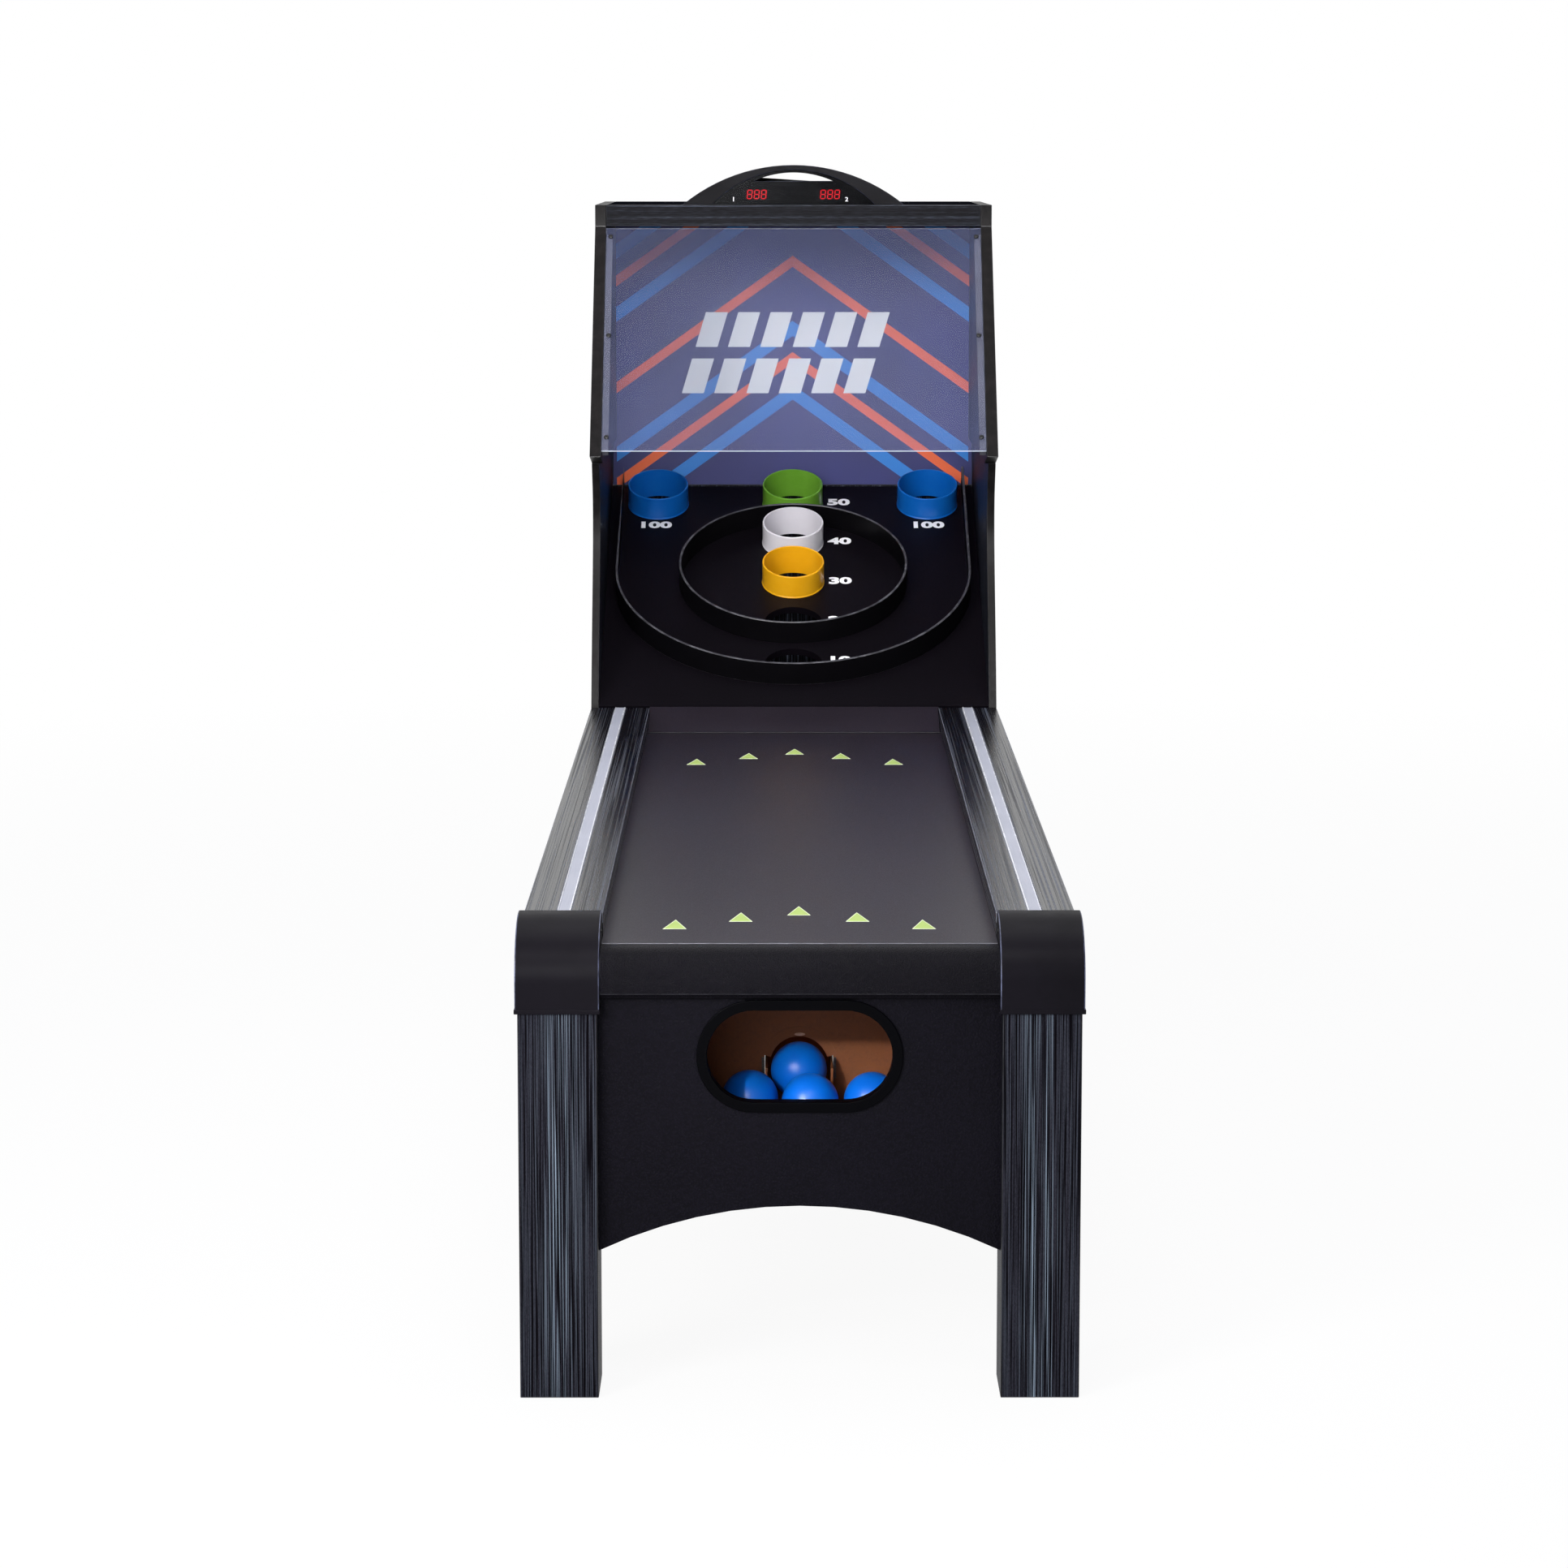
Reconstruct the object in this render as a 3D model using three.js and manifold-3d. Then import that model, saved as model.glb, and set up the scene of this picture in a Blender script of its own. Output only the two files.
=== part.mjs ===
// Roll and score game table for the home. A ball is rolled up the lane, hops off the
// ramp and lands on a tilted board of cups and rings. It drops through a hole, rolls
// down inside the machine and comes back to the tray behind the slot at the front.
// Lengths are in millimetres, +Z is up, and the player stands on the -Y side.

import * as THREE from 'three';
import { mergeVertices } from 'three/addons/utils/BufferGeometryUtils.js';
import Module from 'manifold-3d';

const wasm = await Module();
wasm.setup();

// Fits between pieces, and how far a cutter runs past what it cuts
const fit = 0.3;
const overrun = 5;

// Boards
const sideBoard = 12;
const apronBoard = 15;
const hoodBoard = 18;

// Legs and their corner caps
const legWidth = 92;
const legDepth = 92;
const frontLegGap = 470;
const capWall = 2.7;
const capHeight = 105;
const capProud = 3;
const capRoundDepth = 83;
const capRoundHeight = 70;

// Lane, ramp and rails
const laneWidth = 462;
const laneLength = 1877;
const laneHeight = 532;
const deckThickness = 12;
const deckHousing = 6;
const rampRun = 92;
const rampRise = 30;
const rampNose = 1;
const railWidth = 93;
const railRise = 28;
const railBoard = 12;
const railInnerDepth = 78;
const stripWidth = 16.4;
const stripDepth = 3;
const stripProud = 0.5;
const stripFromEdge = 38.6;

// Front nose rail and the apron with its ball slot
const noseDepth = 45;
const noseHeight = 56;
const noseRadius = 27;
const noseSetback = 3;
const noseChamfer = 5;
const apronSetback = 20;
const apronDepth = 359.5;
const apronArchRise = 53.5;
const slotWidth = 216;
const slotHeight = 108.6;
const slotDrop = 127.5;
const bezelWall = 3;
const bezelFlange = 12.5;
const bezelProud = 3;
const skirtDepth = 282;
const skirtArchRise = 50;
const skirtArchEnd = 130;

// Balls, the tray behind the slot and the return chute
const ballDiameter = 68;
const trayDrop = 114.5;
const trayInnerWidth = 300;
const trayWallHeight = 110;
const trayBoard = 12;
const trayLipHeight = 14;
const trayBackDistance = 215;
const trayBackHeight = 180;
const doorHeight = 102;
const doorRound = 30;
const frontBallDistance = 132;
const frontBallOffset = 13;
const leftBallDistance = 150;
const leftBallOffset = -59;
const rightBallDistance = 139;
const rightBallOffset = 87;
const chuteInnerWidth = 76;
const chuteWall = 3;
const chuteWallHeight = 40;
const chuteExitDistance = 182;
const chuteStep = 24;
const chuteEndGap = 5;
const chuteSlope = THREE.MathUtils.degToRad(3.4);
const chuteBallFromExit = 15;
const supportShare = 0.55;
const supportBoard = 15;
const supportDrop = 190;
const supportSill = 40;
const passageClearance = 12;

// Target board with its cups and rings
const cabinetDepth = 627;
const boardSlope = THREE.MathUtils.degToRad(25.8);
const boardThickness = 12;
const boardLift = 1;
const holeSpacingShare = 0.184;
const cupShare = 0.811;
const holeStep = 7;
const cupWall = 3;
const cupHeight = 40;
const cupEdgeGap = 9;
const ringWall = 4;
const ringHeight = 40;
const innerRingShare = 3;
const outerRingGap = 16;
const ringHoleGap = 7.7;

// Cabinet, ball catcher and rear legs
const cabinetWaistDepth = 102;
const waistShare = 0.6;
const kneeShare = 0.3;
const chinShare = 0.25;
const cabinetRise = 414;
const catchStep = 5;
const catchSlope = THREE.MathUtils.degToRad(8);
const catchSetback = 24;
const funnelHeight = 60;
const funnelBoard = 12;
const funnelMouth = 96;
const funnelRun = 290;

// Hood, window and back panel
const hoodHeight = 409;
const hoodNoseForward = 7;
const hoodNoseHeight = 16;
const hoodNeckSetback = 71;
const hoodTopSetback = 248;
const fasciaHeight = 35;
const windowThickness = 3;
const windowRecess = 2;
const windowStart = 13;
const windowEndGap = 1.5;
const cleatWidth = 11;

// Scoreboard on the hood
const scoreWidth = 362;
const scoreHeight = 64;
const scoreDepth = 58;
const scoreSetback = 12;
const scoreWall = 3;
const scoreShellWidth = 12;
const scoreRecess = 5;
const scoreFaceWidth = 267;
const scoreFaceHeight = 57;
const handleWidth = 130;
const handleTopHeight = 52;
const handleBottomHeight = 38;
const lensThickness = 2;
const digitsWidth = 38;
const digitsHeight = 17;
const digitsDepth = 8;
const digitsOffset = 60;
const digitsFromHood = 8;
const circuitWidth = 170;
const circuitHeight = 26;
const circuitThickness = 1.6;
const rearCoverThickness = 3;
const speakerDiameter = 30;
const speakerDepth = 14;
const speakerMagnetShare = 0.55;
const speakerRimShare = 0.3;
const speakerHoleDiameter = 3.4;
const speakerHolePitch = 6;
const controlsFromHood = 19;
const switchWidth = 20;
const switchHeight = 13;
const switchProud = 3;
const switchDepth = 10;
const switchOffset = 112;
const switchTilt = THREE.MathUtils.degToRad(7);
const buttonDiameter = 12;
const buttonProud = 4;
const buttonStemDiameter = 7;
const buttonStemLength = 10;
const buttonTravel = 2;
const buttonOffset = 78;
const batteryDoorWidth = 66;
const batteryDoorHeight = 30;
const batteryDoorThickness = 2;
const batteryLipWidth = 3;
const batteryRidgeDepth = 1;
const batteryOffset = -92;

// How finely curves are cut
const circleSteps = 40;
const ballSteps = 24;
const arcSteps = 12;
const ringSteps = 64;

// Lines that several pieces share
const railTopHeight = laneHeight + railRise;
const capTopHeight = railTopHeight + capProud;
const capBottomHeight = capTopHeight - capHeight;
const skirtBottom = laneHeight - skirtDepth;
const apronBottom = laneHeight - apronDepth;
const slotCentre = laneHeight - slotDrop;
const trayFloorHeight = slotCentre - trayDrop;
const hoodBottomHeight = laneHeight + cabinetRise;
const hoodTopHeight = hoodBottomHeight + hoodHeight;
const outerHalf = laneWidth / 2 + railWidth;
const laneHalf = laneWidth / 2;
const legInner = frontLegGap / 2;
const legOuter = legInner + legWidth;
const capGap = fit + capWall;
const capInner = legInner - capGap;
const capOuter = legOuter + capGap;
const legFront = capGap;
const legBack = legFront + legDepth;
const deckBottomHeight = laneHeight - deckThickness;
const sideInner = outerHalf - sideBoard;
const hoodInner = outerHalf - hoodBoard;
const backFace = laneLength + cabinetDepth;
const hoodNeck = laneLength + hoodNeckSetback;
const overallLength = backFace + sideBoard;
const catchFront = laneLength + catchSetback;
const supportDistance = laneLength * supportShare;
const ballRadius = ballDiameter / 2;
const halfTurn = Math.PI;
const quarterTurn = Math.PI / 2;

// Materials
function plain(color, roughness, metalness) {
  return new THREE.MeshStandardMaterial({ color, roughness, metalness });
}

const blackLaminate = plain(0x24262b, 0.5, 0);
const blackBoard = plain(0x17171a, 0.6, 0);
const laneFilm = plain(0x3a373c, 0.35, 0);
const blackPlastic = plain(0x101114, 0.4, 0);
const rawBoard = plain(0x6b3f24, 0.8, 0);
const stripPlastic = plain(0xc9c8d4, 0.3, 0);
const artPanel = plain(0x1a1f5c, 0.5, 0);
const clearSheet = plain(0xb8bccb, 0.05, 0);
const bluePlastic = plain(0x0a5fcf, 0.25, 0);
const greenPlastic = plain(0x5fa03a, 0.3, 0);
const whitePlastic = plain(0xd9d4dc, 0.3, 0);
const yellowPlastic = plain(0xe9a80c, 0.3, 0);
const redLens = plain(0x3a0d12, 0.2, 0);
const circuitGreen = plain(0x1d5b36, 0.5, 0);
const speakerSteel = plain(0x6f7278, 0.4, 0.8);

// The group of pieces. The frame's origin is on the floor, under the middle of the
// object, so everything measured from the front face is shifted forward by half.
const table = new THREE.Group();
const machine = new THREE.Group();
machine.position.set(0, -overallLength / 2, 0);
table.add(machine);

function add(name, geometry, material, parent = machine) {
  const mesh = new THREE.Mesh(geometry, material);
  mesh.name = name;
  parent.add(mesh);
  return mesh;
}

// A group that rises to the back at an angle, from a point on the centre line
function slopedGroup(distance, height, angle) {
  const group = new THREE.Group();
  group.position.set(0, distance, height);
  group.rotation.x = angle;
  machine.add(group);
  return group;
}

const sides = [['left', -1], ['right', 1]];

// The X range of a piece between two distances from the middle, on one side
function spanOn(sign, inner, outer) {
  return sign > 0 ? [inner, outer] : [-outer, -inner];
}

// A rectangular block between two corners
function block([x0, x1], [y0, y1], [z0, z1]) {
  const geometry = new THREE.BoxGeometry(1, 1, 1);
  const corner = geometry.attributes.position;
  for (let i = 0; i < corner.count; i += 1) {
    const x = corner.getX(i) > 0 ? x1 : x0;
    const y = corner.getY(i) > 0 ? y1 : y0;
    const z = corner.getZ(i) > 0 ? z1 : z0;
    corner.setXYZ(i, x, y, z);
  }
  return geometry;
}

// Outlines are drawn in the plane that faces the extrusion
function outline(points) {
  return new THREE.Shape(points.map(([u, v]) => new THREE.Vector2(u, v)));
}

function extrude(shape, depth, curveSegments = arcSteps) {
  return new THREE.ExtrudeGeometry(shape, { depth, bevelEnabled: false, curveSegments });
}

// An outline in Y and Z, made solid along X
function extrudeAcross(shape, [x0, x1], curveSegments) {
  const geometry = extrude(shape, x1 - x0, curveSegments);
  const turn = new THREE.Matrix4().makeBasis(
    new THREE.Vector3(0, 1, 0),
    new THREE.Vector3(0, 0, 1),
    new THREE.Vector3(1, 0, 0),
  );
  geometry.applyMatrix4(turn);
  geometry.translate(x0, 0, 0);
  return geometry;
}

// An outline in X and Z, made solid along Y
function extrudeAlong(shape, [y0, y1], curveSegments) {
  const geometry = extrude(shape, y1 - y0, curveSegments);
  geometry.rotateX(quarterTurn);
  geometry.translate(0, y1, 0);
  return geometry;
}

// An outline in X and Y, made solid upwards
function extrudeUp(shape, [z0, z1], curveSegments) {
  const geometry = extrude(shape, z1 - z0, curveSegments);
  geometry.translate(0, 0, z0);
  return geometry;
}

// A closed profile of radius and height, spun about the Z axis
function spun(profile, steps) {
  const points = profile.map(([r, z]) => new THREE.Vector2(r, z));
  const geometry = new THREE.LatheGeometry(points, steps);
  geometry.rotateX(quarterTurn);
  return geometry;
}

function solid(geometry) {
  const bare = geometry.clone();
  bare.deleteAttribute('normal');
  bare.deleteAttribute('uv');
  const merged = mergeVertices(bare);
  const mesh = new wasm.Mesh({
    numProp: 3,
    vertProperties: new Float32Array(merged.attributes.position.array),
    triVerts: new Uint32Array(merged.index.array),
  });
  return new wasm.Manifold(mesh);
}

function fromSolid(body) {
  const mesh = body.getMesh();
  const geometry = new THREE.BufferGeometry();
  geometry.setAttribute('position', new THREE.BufferAttribute(mesh.vertProperties, 3));
  geometry.setIndex(new THREE.BufferAttribute(mesh.triVerts, 1));
  geometry.computeVertexNormals();
  return geometry;
}

function join(geometries) {
  const bodies = geometries.map(solid);
  return fromSolid(bodies.reduce((whole, body) => whole.add(body)));
}

function cut(geometry, cutters) {
  const body = cutters.map(solid).reduce((rest, cutter) => rest.subtract(cutter), solid(geometry));
  return fromSolid(body);
}

// A slot with round ends, as a shape or a hole, centred on (u, v)
function stadium(width, height, u, v, path = new THREE.Shape()) {
  const radius = height / 2;
  const straight = width / 2 - radius;
  path.absarc(u + straight, v, radius, -quarterTurn, quarterTurn, false);
  path.absarc(u - straight, v, radius, quarterTurn, 3 * quarterTurn, false);
  path.closePath();
  return path;
}

// A rectangle whose top corners are round
function doorway(halfWidth, bottom, top, radius) {
  const shape = new THREE.Shape();
  shape.moveTo(-halfWidth, bottom);
  shape.lineTo(halfWidth, bottom);
  shape.lineTo(halfWidth, top - radius);
  shape.absarc(halfWidth - radius, top - radius, radius, 0, quarterTurn, false);
  shape.absarc(radius - halfWidth, top - radius, radius, quarterTurn, halfTurn, false);
  shape.closePath();
  return shape;
}

// Points of a circular arch over a chord, left to right, end points included
function archPoints(start, end, base, rise, steps = arcSteps) {
  const half = (end - start) / 2;
  const radius = (half * half + rise * rise) / (2 * rise);
  const middle = (start + end) / 2;
  const sweep = Math.asin(Math.min(1, half / radius));
  const points = [];
  for (let i = 0; i <= steps; i += 1) {
    const angle = sweep * (2 * i / steps - 1);
    const lift = radius * Math.cos(angle) - (radius - rise);
    points.push([middle + radius * Math.sin(angle), base + lift]);
  }
  return points;
}

// The return chute slopes from the cabinet down to the tray
const chuteExitHeight = trayFloorHeight + chuteStep;
const chuteRun = catchFront - chuteEndGap - chuteExitDistance;
const chuteLength = chuteRun / Math.cos(chuteSlope);
const catchFrontHeight = chuteFloorAt(catchFront) + catchStep;

function chuteFloorAt(distance) {
  return chuteExitHeight + (distance - chuteExitDistance) * Math.tan(chuteSlope);
}

// Front legs stand inside the corner caps. Rear legs stand in the cabinet's corners.
const rearLegBack = backFace - fit;
const rearLegFront = rearLegBack - legDepth;
const catchUnderLeg = catchFrontHeight
  + (rearLegFront - catchFront) * Math.tan(catchSlope)
  - sideBoard / Math.cos(catchSlope);

function addLegs() {
  const frontTop = capTopHeight - capRoundHeight;
  const rearOuter = sideInner - fit;
  for (const [side, sign] of sides) {
    const front = block(spanOn(sign, legInner, legOuter), [legFront, legBack], [0, frontTop]);
    add(`front_leg_${side}`, front, blackLaminate);
    const across = spanOn(sign, rearOuter - legWidth, rearOuter);
    const rear = block(across, [rearLegFront, rearLegBack], [0, catchUnderLeg - fit]);
    add(`rear_leg_${side}`, rear, blackLaminate);
  }
}

// Moulded cap over the top of a front leg, open below and behind
function capProfile(inset, back, bottom) {
  const shape = new THREE.Shape();
  const springing = capTopHeight - capRoundHeight;
  shape.moveTo(back, bottom);
  shape.lineTo(inset, bottom);
  shape.lineTo(inset, springing);
  shape.absellipse(
    capRoundDepth, springing,
    capRoundDepth - inset, capRoundHeight - inset,
    halfTurn, quarterTurn, true,
  );
  shape.lineTo(back, capTopHeight - inset);
  shape.closePath();
  return shape;
}

function addCornerCaps() {
  for (const [side, sign] of sides) {
    const outside = capProfile(0, legBack, capBottomHeight);
    const inside = capProfile(capWall, legBack + overrun, capBottomHeight - overrun);
    const shell = extrudeAcross(outside, spanOn(sign, capInner, capOuter));
    const hollow = extrudeAcross(inside, spanOn(sign, capInner + capWall, capOuter - capWall));
    add(`corner_cap_${side}`, cut(shell, [hollow]), blackPlastic);
  }
}

// Half-round nose rail across the front edge of the lane
function addNose() {
  const shape = new THREE.Shape();
  const back = noseSetback + noseDepth;
  const bottom = laneHeight - noseHeight;
  shape.moveTo(back, bottom);
  shape.lineTo(noseSetback + noseChamfer, bottom);
  shape.lineTo(noseSetback, bottom + noseChamfer);
  shape.lineTo(noseSetback, laneHeight - noseRadius);
  const centre = [noseSetback + noseRadius, laneHeight - noseRadius];
  shape.absarc(...centre, noseRadius, halfTurn, quarterTurn, true);
  shape.lineTo(back, laneHeight);
  shape.closePath();
  add('lane_nose', extrudeAcross(shape, [fit - capInner, capInner - fit]), blackBoard);
}

// Front apron between the legs, arched below, with the slot that the balls come out of
const apronFront = apronSetback;
const apronBack = apronSetback + apronBoard;
const apronTop = laneHeight - noseHeight - fit;

function addApron() {
  const wide = legInner - fit;
  const narrow = capInner - fit;
  const shoulder = capBottomHeight - fit;
  const arch = archPoints(-wide, wide, apronBottom, apronArchRise);
  const shape = outline([
    ...arch,
    [wide, shoulder], [narrow, shoulder], [narrow, apronTop],
    [-narrow, apronTop], [-narrow, shoulder], [-wide, shoulder],
  ]);
  const sleeve = 2 * (bezelWall + fit);
  shape.holes.push(stadium(slotWidth + sleeve, slotHeight + sleeve, 0, slotCentre, new THREE.Path()));
  add('front_apron', extrudeAlong(shape, [apronFront, apronBack]), blackBoard);
}

function addBezel() {
  const flange = 2 * bezelFlange;
  const wall = 2 * bezelWall;
  const opening = () => stadium(slotWidth, slotHeight, 0, slotCentre, new THREE.Path());
  const plate = stadium(slotWidth + flange, slotHeight + flange, 0, slotCentre);
  plate.holes.push(opening());
  const sleeve = stadium(slotWidth + wall, slotHeight + wall, 0, slotCentre);
  sleeve.holes.push(opening());
  const face = apronFront - fit;
  const ring = extrudeAlong(plate, [face - bezelProud, face]);
  const lining = extrudeAlong(sleeve, [face - bezelProud, apronBack]);
  add('slot_bezel', join([ring, lining]), blackPlastic);
}

// The rails are hollow: an outer skirt, a short inner board and a top with an inlaid strip
const railFront = legBack + fit;
const railBack = laneLength - fit;

function addRails() {
  const topBottom = railTopHeight - railBoard;
  for (const [side, sign] of sides) {
    const skirt = outline([
      [railFront, skirtBottom],
      ...archPoints(railFront + skirtArchEnd, railBack - skirtArchEnd, skirtBottom, skirtArchRise),
      [railBack, skirtBottom], [railBack, topBottom - fit], [railFront, topBottom - fit],
    ]);
    const skirtSpan = spanOn(sign, outerHalf - apronBoard, outerHalf);
    add(`side_skirt_${side}`, extrudeAcross(skirt, skirtSpan), blackLaminate);

    const innerTop = topBottom - fit;
    const innerBottom = innerTop - railInnerDepth;
    const flank = laneHalf + railBoard;
    const bed = laneHalf + deckHousing;
    const inner = outline([
      [sign * laneHalf, innerBottom], [sign * flank, innerBottom],
      [sign * flank, innerTop], [sign * laneHalf, innerTop],
      [sign * laneHalf, laneHeight + fit], [sign * bed, laneHeight + fit],
      [sign * bed, deckBottomHeight - fit], [sign * laneHalf, deckBottomHeight - fit],
    ]);
    add(`rail_inner_${side}`, extrudeAlong(inner, [railFront, railBack]), blackLaminate);

    const stripOuter = outerHalf - stripFromEdge;
    const stripInner = stripOuter - stripWidth;
    const groove = railTopHeight - stripDepth;
    const top = outline([
      [sign * laneHalf, topBottom], [sign * outerHalf, topBottom],
      [sign * outerHalf, railTopHeight], [sign * (stripOuter + fit), railTopHeight],
      [sign * (stripOuter + fit), groove], [sign * (stripInner - fit), groove],
      [sign * (stripInner - fit), railTopHeight], [sign * laneHalf, railTopHeight],
    ]);
    add(`rail_top_${side}`, extrudeAlong(top, [railFront, railBack]), blackLaminate);

    const stripHeights = [groove + fit, railTopHeight + stripProud];
    const strip = block(spanOn(sign, stripInner, stripOuter), [railFront, railBack], stripHeights);
    add(`rail_strip_${side}`, strip, stripPlastic);
  }
}

// Deck of the lane, housed in the inner boards, and the ramp that lies on its far end
function addLane() {
  const front = noseSetback + noseDepth + fit;
  const shoulder = railFront + fit;
  const narrow = capInner - fit;
  const wide = laneHalf + deckHousing - fit;
  const deck = outline([
    [-narrow, front], [narrow, front], [narrow, shoulder], [wide, shoulder],
    [wide, railBack], [-wide, railBack], [-wide, shoulder], [-narrow, shoulder],
  ]);
  add('lane_deck', extrudeUp(deck, [deckBottomHeight, laneHeight]), laneFilm);

  const base = laneHeight + fit;
  const ramp = outline([
    [laneLength - rampRun, base], [railBack, base],
    [railBack, laneHeight + rampRise], [laneLength - rampRun, base + rampNose],
  ]);
  add('ramp', extrudeAcross(ramp, [fit - laneHalf, laneHalf - fit]), laneFilm);
}

// Tray behind the slot: floor, side boards and a lip that keeps the balls off the apron
const trayBottom = trayFloorHeight - trayBoard;

function addTray() {
  const front = apronBack + fit;
  const back = trayBackDistance - fit;
  const inner = trayInnerWidth / 2;
  const outer = inner + trayBoard;
  const wallTop = trayFloorHeight + trayWallHeight;
  const lipBack = frontBallDistance - ballRadius - fit;
  const pieces = [block([-outer, outer], [front, back], [trayBottom, trayFloorHeight])];
  for (const [, sign] of sides) {
    pieces.push(block(spanOn(sign, inner, outer), [front, back], [trayBottom, wallTop]));
  }
  const lipHeights = [trayBottom, trayFloorHeight + trayLipHeight];
  pieces.push(block([-outer, outer], [lipBack - trayBoard, lipBack], lipHeights));
  add('ball_tray', join(pieces), rawBoard);

  const rise = (trayBackDistance - chuteExitDistance) * Math.tan(chuteSlope);
  const sill = chuteExitHeight + rise - chuteWall / Math.cos(chuteSlope) - fit;
  const doorHalf = chuteInnerWidth / 2 + chuteWall + fit;
  const backTop = trayFloorHeight + trayBackHeight;
  const board = outline([
    [-outer, trayBottom], [outer, trayBottom], [outer, backTop], [-outer, backTop],
  ]);
  board.holes.push(doorway(doorHalf, sill, trayFloorHeight + doorHeight, doorRound));
  const depth = [trayBackDistance, trayBackDistance + trayBoard];
  add('tray_back', extrudeAlong(board, depth), rawBoard);
}

// Chute that the balls roll down to the tray, a trough with a flat floor
function addChute() {
  const group = slopedGroup(chuteExitDistance, chuteExitHeight, chuteSlope);
  const inner = chuteInnerWidth / 2;
  const outer = inner + chuteWall;
  const trough = outline([
    [-outer, -chuteWall], [outer, -chuteWall], [outer, chuteWallHeight], [inner, chuteWallHeight],
    [inner, 0], [-inner, 0], [-inner, chuteWallHeight], [-outer, chuteWallHeight],
  ]);
  add('return_chute', extrudeAlong(trough, [0, chuteLength]), rawBoard, group);

  const ball = add('ball_4', ballGeometry(), bluePlastic, group);
  ball.position.set(0, chuteBallFromExit, ballRadius + fit);
}

function ballGeometry() {
  return new THREE.SphereGeometry(ballRadius, ballSteps, ballSteps / 2);
}

function addTrayBalls() {
  const places = [
    [leftBallOffset, leftBallDistance],
    [frontBallOffset, frontBallDistance],
    [rightBallOffset, rightBallDistance],
  ];
  places.forEach(([offset, distance], i) => {
    const ball = add(`ball_${i + 1}`, ballGeometry(), bluePlastic);
    ball.position.set(offset, distance, trayFloorHeight + ballRadius + fit);
  });
}

// A window in a board for the chute and the ball that rolls along it
function chuteWindow(distance) {
  const half = chuteInnerWidth / 2 + chuteWall + passageClearance;
  const sill = chuteFloorAt(distance) - chuteWall / Math.cos(chuteSlope) - fit;
  const top = sill + ballDiameter + 2 * passageClearance;
  return doorway(half, sill, top, passageClearance);
}

// Support under the middle of the deck. The chute rests in its window.
function addSupport() {
  const top = deckBottomHeight - fit;
  const step = railTopHeight - railBoard - railInnerDepth - 2 * fit;
  const wide = outerHalf - apronBoard - fit;
  const narrow = laneHalf - fit;
  const bottom = Math.min(top - supportDrop, chuteFloorAt(supportDistance) - supportSill);
  const board = outline([
    [-wide, bottom], [wide, bottom], [wide, step], [narrow, step],
    [narrow, top], [-narrow, top], [-narrow, step], [-wide, step],
  ]);
  board.holes.push(chuteWindow(supportDistance));
  const depth = [supportDistance, supportDistance + supportBoard];
  add('deck_support', extrudeAlong(board, depth), rawBoard);
}

// Bulkhead that closes the cabinet below the target board
const boardStartHeight = laneHeight + rampRise + boardLift;

function addBulkhead() {
  const top = boardStartHeight - boardThickness * Math.cos(boardSlope) - fit;
  const wide = sideInner - fit;
  const board = outline([[-wide, skirtBottom], [wide, skirtBottom], [wide, top], [-wide, top]]);
  board.holes.push(chuteWindow(laneLength));
  add('cabinet_front', extrudeAlong(board, [laneLength, laneLength + sideBoard]), rawBoard);
}

// Target board: open holes, cups through the board, a ring round the low cups and a U-shaped wall
const boardEndRoom = boardThickness * Math.sin(boardSlope) + fit;
const boardLength = (cabinetDepth - boardEndRoom) / Math.cos(boardSlope);
const holeSpacing = boardLength * holeSpacingShare;
const cupDiameter = holeSpacing * cupShare;
const holeDiameter = cupDiameter - holeStep;
const cupRoom = cupDiameter / 2 + cupEdgeGap;
const topHole = boardLength - cupRoom;
const holePlaces = [4, 3, 2, 1, 0].map((step) => topHole - step * holeSpacing);
const outerRingHalf = sideInner - outerRingGap;
const cornerCupOffset = outerRingHalf - ringWall - cupRoom;
const innerRingDiameter = innerRingShare * holeSpacing;
const outerRingStart = holePlaces[0] - holeDiameter / 2 - ringHoleGap - ringWall;
const cupPlaces = [
  ['cup_30', 0, holePlaces[2], yellowPlastic],
  ['cup_40', 0, holePlaces[3], whitePlastic],
  ['cup_50', 0, holePlaces[4], greenPlastic],
  ['cup_100_left', -cornerCupOffset, holePlaces[4], bluePlastic],
  ['cup_100_right', cornerCupOffset, holePlaces[4], bluePlastic],
];

function roundWall(outer, wall, [low, high], steps) {
  const inner = outer - wall;
  return spun([[inner, low], [outer, low], [outer, high], [inner, high], [inner, low]], steps);
}

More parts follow.
